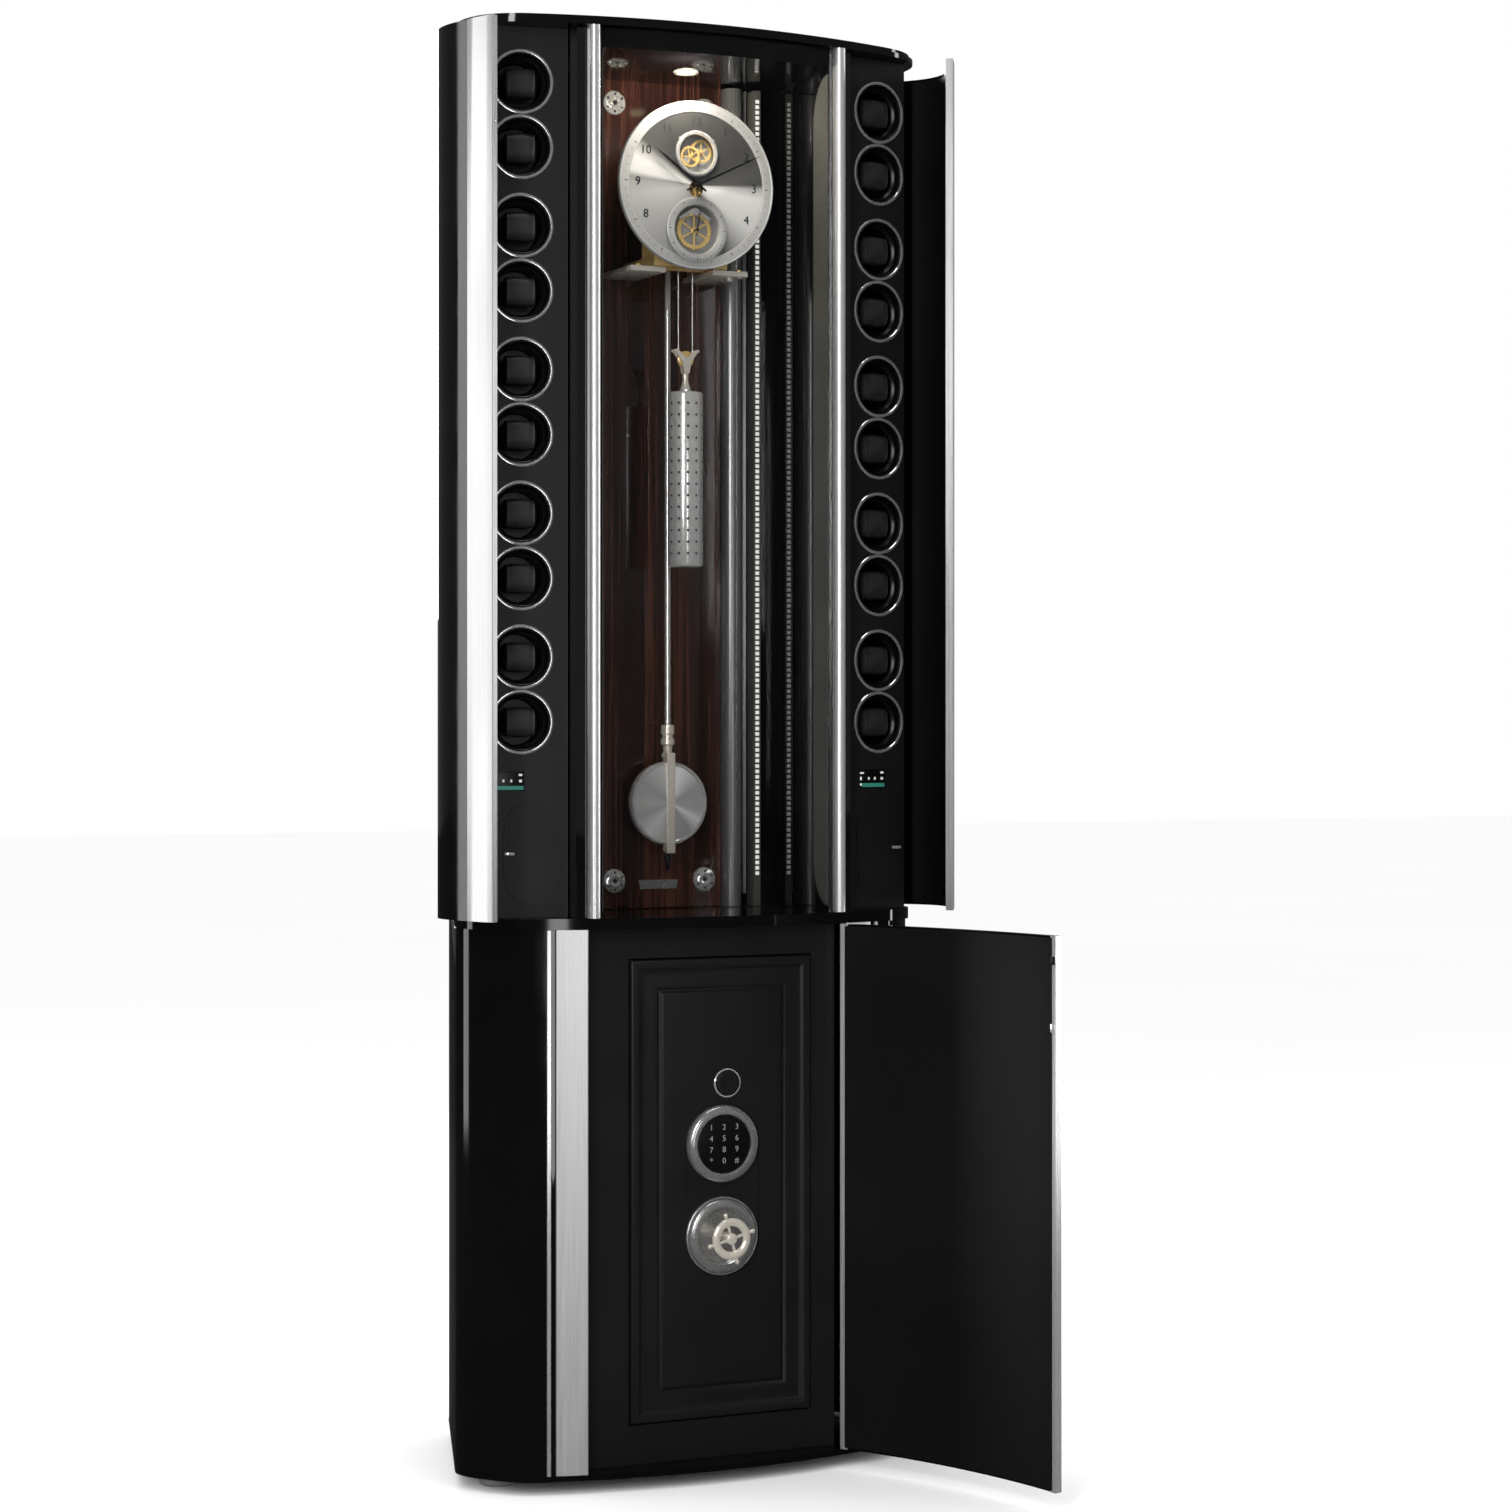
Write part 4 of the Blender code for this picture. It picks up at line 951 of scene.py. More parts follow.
def gear(name, centre, radius, teeth, depth, body="root", spokes=5, turn=0.0):
    """A crossed-out clock wheel with cut teeth, facing the front."""
    bm = bmesh.new()
    count = teeth * 4
    outer = []
    for i in range(count):
        r = radius if i % 4 in (1, 2) else radius * 0.93
        a = 2 * math.pi * i / count
        outer.append((r * math.cos(a), r * math.sin(a)))
    hole = [(radius * 0.76 * math.cos(2 * math.pi * i / count),
             radius * 0.76 * math.sin(2 * math.pi * i / count)) for i in range(count)]
    (rim_back, hole_back), (rim_front, hole_front) = [
        ([bm.verts.new((x, y, z)) for x, y in outer], [bm.verts.new((x, y, z)) for x, y in hole])
        for z in (0, depth)]
    for i in range(count):
        j = (i + 1) % count
        bm.faces.new((rim_back[i], rim_back[j], rim_front[j], rim_front[i]))
        bm.faces.new((hole_back[i], hole_front[i], hole_front[j], hole_back[j]))
        bm.faces.new((rim_front[i], rim_front[j], hole_front[j], hole_front[i]))
        bm.faces.new((rim_back[i], hole_back[i], hole_back[j], rim_back[j]))
    for k in range(spokes):
        rotation = Matrix.Rotation(2 * math.pi * k / spokes + turn, 4, "Z")
        width = radius * 0.05
        add_box(bm, (-width, radius * 0.12, 0.0002), (width, radius * 0.79, depth - 0.0002),
                rotation)
    add_lathe(bm, [(0, depth * 1.3), (radius * 0.14, depth * 1.3), (radius * 0.17, depth),
                   (radius * 0.17, 0), (radius * 0.09, -depth), (0, -depth)], 32)
    return piece(name, mesh_of(name, bm), "gilt", body, facing(centre))


def screw_head(name, centre, radius):
    """A slotted screw head facing the front."""
    bm = bmesh.new()
    add_lathe(bm, [(0, radius * 0.55), (radius * 0.75, radius * 0.5), (radius, radius * 0.25),
                   (radius, 0), (0, 0)], 28)
    made = piece(name, mesh_of(name, bm), "chrome", "root", facing(centre))
    bm = bmesh.new()
    add_box(bm, (-radius * 1.2, -radius * 0.13, radius * 0.3), (radius * 1.2, radius * 0.13, radius))
    cut(made, cutter(mesh_of("tool", bm), facing(centre)))


def build_dial():
    """Dial plate, chapter ring, apertures, numerals and track."""
    centre = at(0, DIAL_Y, DIAL_Z)
    # The dial's light and dark sectors are a painted reflection, laid into its colour by angle round
    # the centre.
    M["sun"] = spun("dial_sunburst_painted_reflection", [
        (0.0, 0.36), (0.03, 0.48), (0.1, 0.42), (0.24, 0.22), (0.32, 0.1), (0.4, 0.66),
        (0.475, 0.8), (0.5, 0.5), (0.51, 0.1), (0.6, 0.055), (0.74, 0.04), (0.84, 0.04),
        (0.9, 0.07), (0.945, 0.62), (0.975, 0.66), (0.99, 0.28), (1.0, 0.36)], 3200.0, 0.8, 0.3)
    # The chapter ring's light and dark sectors are a painted reflection, laid into its colour by angle.
    M["chapter"] = spun("chapter_silver_painted_reflection", [
        (0.0, 0.46), (0.25, 0.34), (0.45, 0.52), (0.7, 0.26), (0.92, 0.4), (1.0, 0.46)],
        2600.0, 0.5, 0.34)
    plate = lathe("dial_plate", [(0, -0.0005), (0.1125, -0.0005), (0.1132, -0.001),
                                 (0.1132, -0.0045), (0, -0.0045)],
                  "sun", "root", facing(centre), 192)
    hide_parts("dial")
    rim = [(0.1133, 0.0002), (0.1138, 0.001), (0.115, 0.0015), (0.1275, 0.0015),
           (0.129, 0.0026), (0.1304, 0.002), (0.131, 0.0), (0.131, -0.0045), (0.1133, -0.0045)]
    chapter = lathe("chapter_ring", rim, "chapter", "root", facing(centre), 192,
                    closed=True)
    for target in (plate, chapter):
        cut(target, tool_rod(0.0425, 0.03, facing(at(0, DIAL_Y, SECONDS_Z))))
    cut(plate, tool_rod(0.029, 0.03, facing(at(0, DIAL_Y, APERTURE_Z))))
    cut(plate, tool_rod(0.0125, 0.03, facing(at(0, DIAL_Y, DIAL_Z - 0.006)), 48))

    bezel = [(0.029, -0.004), (0.029, 0.001), (0.03, 0.0028), (0.033, 0.0036),
             (0.0352, 0.0026), (0.036, 0.0004), (0.035, -0.0006)]
    lathe("aperture_bezel", bezel, "chrome", "root", facing(at(0, DIAL_Y, APERTURE_Z)),
          128, closed=True)
    sub = [(0.0375, -0.005), (0.0378, 0.001), (0.0385, 0.003), (0.043, 0.0038),
           (0.049, 0.0036), (0.0506, 0.0026), (0.051, 0.0002), (0.05, -0.0006),
           (0.0424, -0.001), (0.0424, -0.005)]
    lathe("seconds_ring", sub, "chapter", "root", facing(at(0, DIAL_Y, SECONDS_Z)),
          128, closed=True)
    bm = bmesh.new()
    for i in range(60):
        turn = Matrix.Rotation(2 * math.pi * i / 60, 4, "Z")
        length = 0.0042 if i % 5 == 0 else 0.0022
        width = 0.0005 if i % 5 == 0 else 0.00025
        add_box(bm, (-width, 0.0482 - length, 0.0034), (width, 0.0482, 0.00395), turn)
    piece("seconds_marks", mesh_of("marks", bm), "ink", "root",
          facing(at(0, DIAL_Y, SECONDS_Z)))
    bm = bmesh.new()
    for i in range(60):
        a = 2 * math.pi * i / 60
        spot = Vector((0.121 * math.sin(a), 0.121 * math.cos(a)))
        if (spot - Vector((0, SECONDS_Z - DIAL_Z))).length < 0.054:
            continue
        length = 0.005 if i % 5 == 0 else 0.003
        width = 0.0006 if i % 5 == 0 else 0.0003
        add_box(bm, (-width, 0.1215 - length, 0.0013), (width, 0.1215, 0.0017),
                Matrix.Rotation(-a, 4, "Z"))
    piece("minute_marks", mesh_of("marks", bm), "ink", "root", facing(centre))
    for hour in (1, 2, 3, 4, 8, 9, 10, 11, 12):
        a = 2 * math.pi * hour / 12
        place = facing(centre + Vector((0.0985 * math.sin(a), 0, 0.0985 * math.cos(a))))
        lettering("numeral_%02d" % hour, str(hour), 0.019, "ink", "root",
                  place @ Matrix.Translation((0, 0, -0.0003)), 0.0003)
    for k, a in enumerate(math.radians(d) for d in (-22, 22)):
        spot = centre + Vector((0.076 * math.sin(a), -0.0005, 0.076 * math.cos(a)))
        screw_head("dial_screw_%d" % k, spot, 0.0024)


def build_movement():
    """Wheels seen through the dial, plates, pillars and the seat."""
    dress_cad({"movement_frame": "gilt"})
    behind = DIAL_Y + 0.0085
    gear("balance_wheel", at(-0.008, behind, APERTURE_Z - 0.004), 0.017, 30, 0.0022, turn=0.3)
    gear("upper_wheel", at(0.012, behind + 0.003, APERTURE_Z + 0.006), 0.0185, 36, 0.0022)
    gear("motion_wheel", at(-0.009, behind, DIAL_Z - 0.012), 0.0125, 24, 0.002)
    gear("cannon_wheel", at(0.009, behind + 0.002, DIAL_Z - 0.01), 0.0115, 20, 0.002)
    gear("escape_wheel", at(0, DIAL_Y + 0.0105, SECONDS_Z), 0.03, 30, 0.0018,
         body="seconds_hand", spokes=6)
    bm = bmesh.new()
    add_box(bm, (-0.0045, -0.001, 0), (0.0045, 0.01, 0.003), None, 0.0008)
    for sign in (-1, 1):
        arm = Matrix.Rotation(sign * math.radians(58), 4, "Z")
        add_box(bm, (-0.0028, 0.0, 0.0004), (0.0028, 0.03, 0.0026), arm, 0.0006)
    piece("anchor", mesh_of("anchor", bm), "chrome", "root",
          facing(at(0, DIAL_Y + 0.0075, SECONDS_Z + 0.033)) @ Matrix.Rotation(math.pi, 4, "Z"))
    lathe("aperture_cup", [(0.0, -0.015), (0.0335, -0.015), (0.0335, -0.0045),
                           (0.0345, -0.0045), (0.0345, -0.0158), (0.0, -0.0158)],
          "chapter", "root", facing(at(0, DIAL_Y, APERTURE_Z)), 96)
    lathe("seconds_cup", [(0.0, -0.0175), (0.0425, -0.0175), (0.0425, -0.0052), (0.0432, -0.0052),
                          (0.0432, -0.0182), (0.0, -0.0182)],
          "chapter", "root", facing(at(0, DIAL_Y, SECONDS_Z)), 96)

    joint = JOINTS["great_wheel_turn"]["pos_m"]
    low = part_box("great_wheel")[0]
    gear("great_wheel_fine", at(joint[0], low.y - FRONT_Y + 0.009, joint[2]), 0.036, 72, 0.0034,
         body="great_wheel", spokes=6)
    drum = [(0, 0.0), (0.003, 0.0), (0.003, -0.0055), (0.021, -0.0055), (0.021, -0.007)]
    for i in range(11):
        z = -0.0078 - 0.0125 * i / 10
        drum += [(0.0186, z), (0.0179, z - 0.0006)]
    drum += [(0.021, -0.0215), (0.021, -0.023), (0.003, -0.023), (0.003, -0.0425),
             (0, -0.0425)]
    made = lathe("drum", drum, "gilt", "great_wheel",
                 facing(Vector((joint[0], low.y, joint[2]))), 72)
    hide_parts("great_wheel")

    seat_low, seat_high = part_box("movement_frame")
    for name, left, right in (("seat_board", -0.1, -0.04),
                              ("seat_board_right", 0.04, 0.1)):
        box(name, (left, seat_low.y + 0.004, seat_low.z - 0.009),
            (right, seat_high.y - 0.004, seat_low.z - 0.0004), "warm_chrome", bevel=0.0012)
    for k, (x, y) in enumerate(((-0.086, 0.118), (-0.086, 0.15), (0.086, 0.118), (0.086, 0.15))):
        lathe("seat_screw_%d" % k, [(0, 0.003), (0.0035, 0.0028), (0.0045, 0.0015), (0.0045, 0),
                                    (0, 0)], "gilt", "root",
              Matrix.Translation(at(x, y, seat_low.z - 0.0004)), 28)
    for side, sign in SIDES:
        for k, z in enumerate((1.905, 1.945, 1.985, 2.025)):
            gear(f"side_wheel_{side}_{k}",
                 at(sign * 0.062, 0.12 + 0.008 * (k % 2), z), 0.0165, 28, 0.003, turn=0.2 * k)


def build_hands():
    """Slim dark hands with hubs."""
    for name, length, width, tail, angle in (("hour_hand", 0.084, 0.004, 0.016, -54),
                                             ("minute_hand", 0.119, 0.0032, 0.024, 64),
                                             ("seconds_hand", 0.034, 0.0017, 0.01, 8)):
        joint = JOINTS[name + "_turn"]["pos_m"]
        matrix = (Matrix.Translation(Vector((0, joint[1], joint[2])))
                  @ Matrix.Rotation(math.radians(angle), 4, "Y") @ Matrix.Rotation(math.pi / 2, 4, "X"))
        bm = bmesh.new()
        outline = [(-width * 0.35, -tail), (width * 0.35, -tail), (width / 2, 0.1 * length),
                   (width * 0.42, 0.8 * length), (0, length), (-width * 0.42, 0.8 * length),
                   (-width / 2, 0.1 * length)]
        thick = 0.0006
        add_prism(bm, outline, -thick, thick)
        add_lathe(bm, [(0.0, thick * 2.2), (width * 0.9, thick * 2.2), (width * 1.25, thick * 1.2),
                       (width * 1.25, -thick * 1.2), (0.0, -thick * 1.2)], 40)
        if name != "hour_hand":
            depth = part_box(name)[1].y - joint[1]
            add_lathe(bm, [(0, 0), (0.0018, 0), (0.0018, -depth), (0, -depth)], 20)
        made = piece(name + "_fine", mesh_of(name, bm), "dark_metal", name, matrix)
        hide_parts(name)


def build_weight():
    """The pierced chrome weight, its yoke, pulley and cable."""
    low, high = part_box("weight")
    centre = Vector((0, (low.y + high.y) / 2, 0))
    bottom, top, radius, rows, columns = low.z, low.z + 0.274, 0.0275, 14, 12
    shell = [(0, top + 0.004), (0.008, top + 0.004), (0.01, top + 0.001), (0.0225, top),
             (0.0262, top - 0.0015), (radius, top - 0.005), (radius, bottom + 0.005),
             (0.0262, bottom + 0.0015), (0.0225, bottom), (0, bottom)]
    made = lathe("weight_shell", shell, "pierced", "weight",
                 Matrix.Translation(centre), 96)
    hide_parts("weight")
    bm = bmesh.new()
    for row in range(rows):
        for column in range(columns):
            turn = Matrix.Rotation(2 * math.pi * (column + 0.5) / columns, 4, "Z")
            spot = (turn @ Matrix.Translation((0, -radius + 0.0008, bottom + 0.021 + 0.018 * row))
                    @ Matrix.Rotation(math.pi / 2, 4, "X"))
            add_lathe(bm, [(0, 0.0009), (0.0019, 0.001), (0.0023, 0.0006), (0.0023, -0.0005),
                           (0, -0.0005)], 12, matrix=spot)
    piece("weight_piercings", mesh_of("piercings", bm), "ink", "weight",
          Matrix.Translation(centre))
    pulley_z = JOINTS["pulley_turn"]["pos_m"][2]
    bm = bmesh.new()
    add_lathe(bm, [(0, 0.03), (0.0035, 0.03), (0.005, 0.024), (0.0045, 0.014), (0.007, 0.006),
                   (0.0085, 0.0), (0, 0.0)], 32,
              matrix=Matrix.Translation((0, 0, top + 0.003)))
    for sign in (-1, 1):
        arm = [(0.0, -0.022), (0.0045, -0.022), (0.0075, -0.004), (0.0185, 0.0105),
               (0.0215, 0.0115), (0.0205, 0.015), (0.015, 0.015), (0.002, 0.003),
               (0.0, 0.003)]
        for flip in (-1, 1):
            plate = bmesh.new()
            add_prism(plate, [(flip * x, z) for x, z in arm], -0.001, 0.001)
            mesh = mesh_of("cheek", plate)
            mesh.transform(Matrix.Translation((0, sign * 0.0056, pulley_z))
                           @ Matrix.Rotation(math.pi / 2, 4, "X"))
            bm.from_mesh(mesh)
    add_lathe(bm, [(0, 0.0075), (0.0022, 0.0075), (0.0022, -0.0075), (0, -0.0075)], 20,
              matrix=Matrix.Translation((0, 0, pulley_z)) @ Matrix.Rotation(math.pi / 2, 4, "X"))
    piece("weight_yoke", mesh_of("weight_yoke", bm), "warm_chrome", "weight",
          Matrix.Translation(centre))
    groove = [(0.0024, 0.0035), (0.0122, 0.0035), (0.013, 0.003), (0.0126, 0.0022),
              (0.0106, 0.0008), (0.0106, -0.0008), (0.0126, -0.0022), (0.013, -0.003),
              (0.0122, -0.0035), (0.0024, -0.0035)]
    made = lathe("pulley_fine", groove, "gilt", "pulley",
                 facing(Vector((0, centre.y, pulley_z))), 64, closed=True)
    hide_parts("pulley")
    build_cable(centre.y, pulley_z)


def build_cable(y, pulley_z):
    """The twisted cable's two runs and its bend under the pulley."""
    top, seat_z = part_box("weight_cable")[1].z, 1.8677
    reach, wire, points = 0.012, 0.001, []
    for i in range(12):
        points.append(Vector((-reach, y, seat_z + (pulley_z - seat_z) * i / 12)))
    for i in range(19):
        a = math.pi + math.pi * i / 18
        points.append(Vector((reach * math.cos(a), y, pulley_z + reach * math.sin(a))))
    for i in range(1, 19):
        points.append(Vector((reach, y, pulley_z + (top - pulley_z) * i / 18)))
    bm = bmesh.new()
    rings = []
    for i, point in enumerate(points):
        along = (points[min(i + 1, len(points) - 1)] - points[max(i - 1, 0)]).normalized()
        side = Vector((0, 1, 0))
        other = along.cross(side)
        rings.append([bm.verts.new(point + (side * math.cos(a) + other * math.sin(a)) * wire)
                      for a in (2 * math.pi * k / 10 for k in range(10))])
    for near, far in zip(rings, rings[1:]):
        for k in range(10):
            bm.faces.new((near[k], near[(k + 1) % 10], far[(k + 1) % 10], far[k]))
    bm.faces.new(rings[0])
    bm.faces.new(rings[-1])
    mesh = mesh_of("cable", bm)
    mesh.materials.append(M["chrome"])
    mesh.shade_smooth()
    cable = bpy.data.objects.new("cable", mesh)
    bpy.context.scene.collection.objects.link(cable)
    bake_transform(cable)
    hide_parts("weight_cable")


def build_pendulum():
    """Rod, collars, bob and rating nut."""
    pivot = Vector(JOINTS["pendulum_swing"]["pos_m"])
    body = "pendulum"
    bob_z, rod_low, rod_radius = 1.03, 1.1545, 0.0048
    upright = Matrix.Translation((pivot.x, pivot.y, 0))
    rod = [(0, pivot.z + 0.004), (0.003, pivot.z + 0.003), (0.003, pivot.z - 0.02),
           (rod_radius, pivot.z - 0.024), (rod_radius, rod_low), (0, rod_low)]
    made = lathe("pendulum_rod", rod, "chrome", body, upright, 40)
    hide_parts(body)
    collars = [(0, 1.154), (0.009, 1.154), (0.0108, 1.1515), (0.0108, 1.14), (0.0085, 1.1375),
               (0.0085, 1.134), (0.011, 1.1315), (0.011, 1.1235), (0.0075, 1.1205),
               (0.0072, 1.111), (0.0095, 1.1085), (0.0095, 1.103), (0.0073, 1.1005),
               (0.0073, 0.956), (0.006, 0.9535), (0, 0.9535)]
    lathe("pendulum_collars", collars, "warm_chrome", body, upright, 56)
    nut = [(0, 0.953), (0.0036, 0.953), (0.0036, 0.9475), (0.0058, 0.9465), (0.0058, 0.94),
           (0.0036, 0.939), (0.0034, 0.926), (0.002, 0.924), (0, 0.924)]
    lathe("rating_nut", nut, "dark_metal", body, upright, 40)
    # The bob's light and dark sectors are a painted reflection, laid into its colour by angle.
    M["bob"] = spun("bob_painted_reflection", [
        (0.0, 0.42), (0.06, 0.34), (0.14, 0.52), (0.22, 0.4), (0.36, 0.34), (0.42, 0.72),
        (0.46, 0.42), (0.58, 0.34), (0.66, 0.62), (0.71, 0.8), (0.77, 0.46), (0.9, 0.32),
        (1.0, 0.42)], 2400.0, 0.8, 0.26)
    face = facing(Vector((pivot.x, pivot.y, bob_z)))
    lens = [(0, 0.0128)]
    for i in range(1, 13):
        r = 0.06 * i / 12
        lens.append((r, 0.0128 - 0.0062 * (i / 12) ** 2))
    back = [(r, -h) for r, h in reversed(lens)]
    lathe("bob_disc", lens + back, "bob", body, face, 160)
    rim = [(0.0595, 0.0068), (0.061, 0.008), (0.064, 0.0078), (0.0662, 0.005),
           (0.0665, 0.0), (0.0662, -0.005), (0.064, -0.0078), (0.061, -0.008),
           (0.0595, -0.0068)]
    lathe("bob_rim", rim, "chrome", body, face, 160, closed=True)
    box("pendulum_clasp", (-0.0072, -0.079, 0.005), (0.0072, 0.08, 0.015), "warm_chrome", body,
        face, 0.0022)


def rosette(name, centre):
    """A round chrome fixing with pierced petals and a dark centre."""
    steps = 72
    bm = bmesh.new()
    add_lathe(bm, [(0, 0.0045), (0.003, 0.0045), (0.0042, 0.007), (0.0085, 0.0078),
                   (0.012, 0.0062), (0.0175, 0.0052), (0.019, 0.0035), (0.0192, 0), (0, 0)],
              steps)
    piece(name, mesh_of(name, bm), "chrome", "root", facing(centre))
    bm = bmesh.new()
    for k in range(6):
        spot = Matrix.Rotation(math.pi * k / 3, 4, "Z") @ Matrix.Translation((0, 0.0135, 0.005))
        add_lathe(bm, [(0, 0.0016), (0.0016, 0.0016), (0.0018, 0.0012), (0.0018, -0.001),
                       (0, -0.001)], 16, matrix=spot)
    add_lathe(bm, [(0, 0.0068), (0.0022, 0.0066), (0.003, 0.005), (0.003, 0.002), (0, 0.002)], 20)
    piece(name + "_studs", mesh_of(name + "_studs", bm), "ink", "root", facing(centre))


BOARD_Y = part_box("clock_backboard")[0].y - FRONT_Y
CEILING_LOW = CAP_LOW - 0.031
VENEER_HALF, BAY_HALF = 0.108, 0.1895


def build_columns(side, sign):
    """The black board beside the veneer, the round column and its fillet."""
    low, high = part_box("clock_backboard")
    near, far = sorted((sign * (VENEER_HALF + 0.0003), sign * BAY_HALF))
    box("bay_rear_" + side, (near, low.y + 0.003, low.z), (far, high.y, high.z), "lacquer")
    root, centre_x, radius, depth = BOARD_Y + 0.0028, 0.124, 0.015, 0.013
    pillar = [(centre_x - radius, root), (centre_x - radius, BOARD_Y - 0.01)]
    pillar += [(centre_x - radius * math.cos(a), BOARD_Y - 0.01 - depth * math.sin(a))
               for a in (math.pi * i / 16 for i in range(17))]
    pillar += [(centre_x + radius, root)]
    flute = [(0.145, root), (0.145, BOARD_Y - 0.004), (0.15, BOARD_Y - 0.006),
             (0.152, BOARD_Y - 0.003), (0.152, root)]
    for name, outline, foot, bevel in (("bay_column_", pillar, 0.0003, 0.0004),
                                       ("bay_fillet_", flute, 0.02, 0.0003)):
        prism(name + side, laid(outline[::-1], sign), WAIST_TOP + foot, CEILING_LOW - 0.001,
              "column", bevel=bevel)


def build_light_strip(side, sign):
    """The upright channel with its row of light chips."""
    x, half_width, lamp_y = 0.162, 0.0062, BOARD_Y - 0.021
    left_edge, right_edge = sorted((sign * (x - half_width), sign * (x + half_width)))
    box("light_channel_" + side, (left_edge, at(0, lamp_y - 0.002, 0).y, WAIST_TOP + 0.0003),
        (right_edge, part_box("clock_backboard")[0].y + 0.0028, CAP_LOW - 0.033), "liner",
        bevel=0.0006)
    pitch, chip_height, chip_half = 0.0086, 0.0056, 0.0032
    first, last = WAIST_TOP + 0.05, CAP_LOW - 0.04
    bm = bmesh.new()
    for i in range(int((last - first) / pitch)):
        z = first + pitch * i
        add_box(bm, (sign * x - chip_half, at(0, lamp_y - 0.0034, 0).y, z),
                (sign * x + chip_half, at(0, lamp_y - 0.0019, 0).y, z + chip_height), None,
                0.0005, 1)
    piece("light_chips_" + side, mesh_of("chips", bm), "led", "root")


def build_liner(side, sign):
    """The grey band with arched ends on the bay's side wall."""
    front, depth, rise, thickness, wall_x = 0.0108, 0.05, 0.075, 0.0012, 0.1897
    arch = []
    for end_z, up in ((WAIST_TOP + 0.01 + rise, -1), (CAP_LOW - 0.04 - rise, 1)):
        turn = [(front + depth * math.cos(a), end_z + up * rise * math.sin(a))
                for a in (math.pi / 2 * i / 16 for i in range(17))]
        arch += turn[::up]
    bm = bmesh.new()
    add_prism(bm, arch, 0, thickness)
    matrix = Matrix(((0, 0, 1, sign * wall_x - (thickness if sign > 0 else 0)),
                     (1, 0, 0, FRONT_Y), (0, 1, 0, 0), (0, 0, 0, 1)))
    piece("bay_liner_" + side, mesh_of("liner", bm), "liner", "root", matrix)


def build_ceiling():
    """The ceiling board and the round lamp in it."""
    ceiling_half = 0.189
    across = [ceiling_half * (i / 12 - 1) for i in range(25)]
    plan = [(x, bow(x) + 0.0105) for x in across]
    plan += [(ceiling_half, BOARD_Y - 0.001), (-ceiling_half, BOARD_Y - 0.001)]
    prism("bay_ceiling", laid(plan), CEILING_LOW, CAP_LOW - 0.0005, "lacquer", bevel=0.001)
    lamp = (Matrix.Translation(at(0, 0.129, CEILING_LOW - 0.0001))
            @ Matrix.Rotation(math.pi, 4, "X"))
    lathe("spot_ring", [(0.015, 0.0), (0.0152, 0.002), (0.018, 0.0026), (0.02, 0.0012),
                        (0.0202, 0.0)], "warm_chrome", "root", lamp, 64, closed=True)
    lathe("spot_lens", [(0, 0.0022), (0.01, 0.0019), (0.0148, 0.001), (0.0148, 0.0), (0, 0.0)],
          "spot", "root", lamp, 48)


def build_bay():
    """Backboard, columns, light strips, liners, rosettes, ceiling and nameplate."""
    low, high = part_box("clock_backboard")
    made = box("macassar_board", (-VENEER_HALF, low.y, low.z), (VENEER_HALF, high.y, high.z),
               "wood", bevel=0.001)
    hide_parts("clock_backboard")
    for side, sign in SIDES:
        build_columns(side, sign)
        build_light_strip(side, sign)
        build_liner(side, sign)
        for end, z in (("low", 0.907), ("high", 2.137)):
            rosette(f"rosette_{side}_{end}", at(sign * 0.078, BOARD_Y - 0.0002, z))
    build_ceiling()
    bm = bmesh.new()
    add_prism(bm, [(-0.0345, 0.0072), (-0.031, -0.0072), (0.031, -0.0072), (0.0345, 0.0072)],
              0, 0.0022)
    piece("nameplate_blank", mesh_of("nameplate", bm), "steel", "root",
          facing(at(-0.002, BOARD_Y - 0.0002, 0.9005)))


# ---------------------------------------------------------------- set

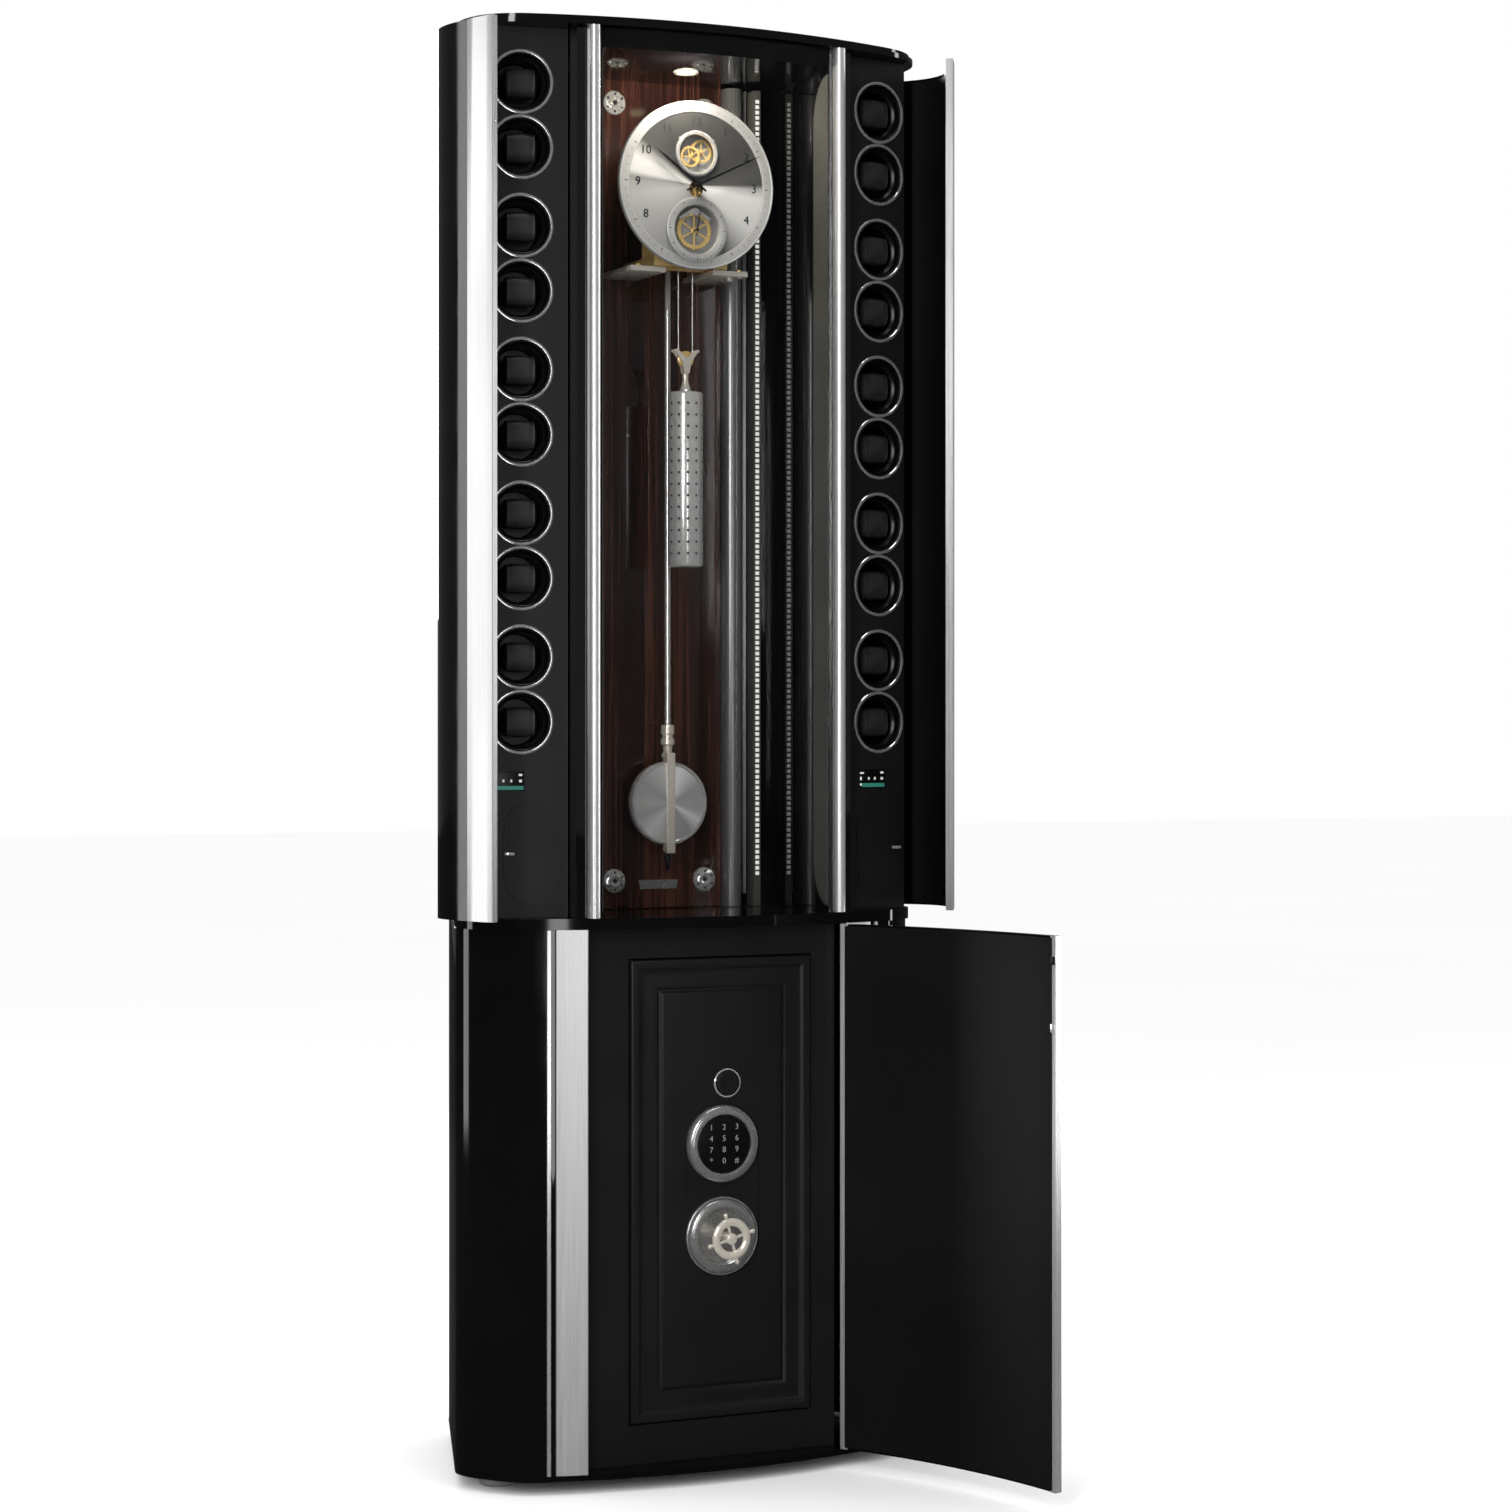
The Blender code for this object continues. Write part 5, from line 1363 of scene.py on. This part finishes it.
def build_set():
    """Camera, lights and floor."""
    data = bpy.data.cameras.new("camera")
    camera = bpy.data.objects.new("camera", data)
    bpy.context.scene.collection.objects.link(camera)
    camera.location = at(-2.111, -4.629, 1.152)
    camera.rotation_euler = (math.pi / 2, 0, math.radians(-25.1325))
    data.lens = 79.3
    data.sensor_width = 36.0
    data.shift_y = -0.0198
    bpy.context.scene.camera = camera

    floor = bpy.data.objects.new("floor", bpy.data.meshes.new("floor"))
    bm = bmesh.new()
    bmesh.ops.create_grid(bm, x_segments=1, y_segments=1, size=30.0)
    bm.to_mesh(floor.data)
    bm.free()
    bpy.context.scene.collection.objects.link(floor)
    made, tree, shader = shader_of("floor_white")
    cloud = noise(tree, object_space(tree), 0.4)
    pale = ramp(tree, cloud, [(0.2, (0.95, 0.95, 0.95)), (0.8, (0.97, 0.97, 0.97))])
    path = node(tree, "ShaderNodeLightPath").outputs["Is Glossy Ray"]
    mixed = node(tree, "ShaderNodeMix", [("Factor", path), ("A", pale)], data_type="RGBA")
    mixed.inputs["B"].default_value = (0.03, 0.03, 0.03, 1)
    tree.links.new(mixed.outputs["Result"], shader.inputs["Base Color"])
    set_shader(shader, Roughness=0.9, Specular_IOR_Level=0.0)
    floor.data.materials.append(made)

    def area(name, place, aim_z, size, power):
        light = bpy.data.lights.new(name, "AREA")
        light.shape = "RECTANGLE"
        light.size, light.size_y = size
        light.energy = power
        lamp = bpy.data.objects.new(name, light)
        bpy.context.scene.collection.objects.link(lamp)
        lamp.location = place
        aim = Vector((0, 0, aim_z)) - Vector(place)
        lamp.rotation_euler = aim.to_track_quat("-Z", "Y").to_euler()

    area("key", (-3.2, -4.0, 2.6), 1.4, (0.7, 3.2), 120)
    area("front", (-0.9, -5.2, 1.3), 1.1, (0.35, 2.6), 20)
    area("side", (-4.4, 1.9, 1.5), 1.4, (0.9, 3.4), 42)
    area("right", (4.4, -1.2, 1.6), 1.2, (0.5, 3.2), 50)
    area("top", (0.0, -0.6, 4.6), 2.0, (1.6, 1.0), 30)
    area("back", (0.6, 4.2, 2.6), 1.2, (2.0, 2.4), 70)
    bay = bpy.data.lights.new("bay", "POINT")
    bay.energy = 5.0
    bay.color = (1.0, 0.93, 0.8)
    bay.shadow_soft_size = 0.03
    lamp = bpy.data.objects.new("bay", bay)
    bpy.context.scene.collection.objects.link(lamp)
    lamp.location = at(-0.04, 0.03, CAP_LOW - 0.06)
    lamp.visible_glossy = False

    world = bpy.data.worlds.new("studio")
    bpy.context.scene.world = world
    world.use_nodes = True
    tree = world.node_tree
    sky = tree.nodes["Background"]
    path = node(tree, "ShaderNodeLightPath")
    tree.links.new(spread(tree, path.outputs["Is Glossy Ray"], 1.0, 0.12), sky.inputs["Strength"])
    sky.inputs["Color"].default_value = (1, 1, 1, 1)
    bpy.context.scene.view_settings.view_transform = "Standard"


build_set()
build_case()
build_wings()
build_lower_door()
build_winders()
build_safe()
build_dial()
build_movement()
build_hands()
build_weight()
build_pendulum()
build_bay()

bpy.context.view_layer.update()
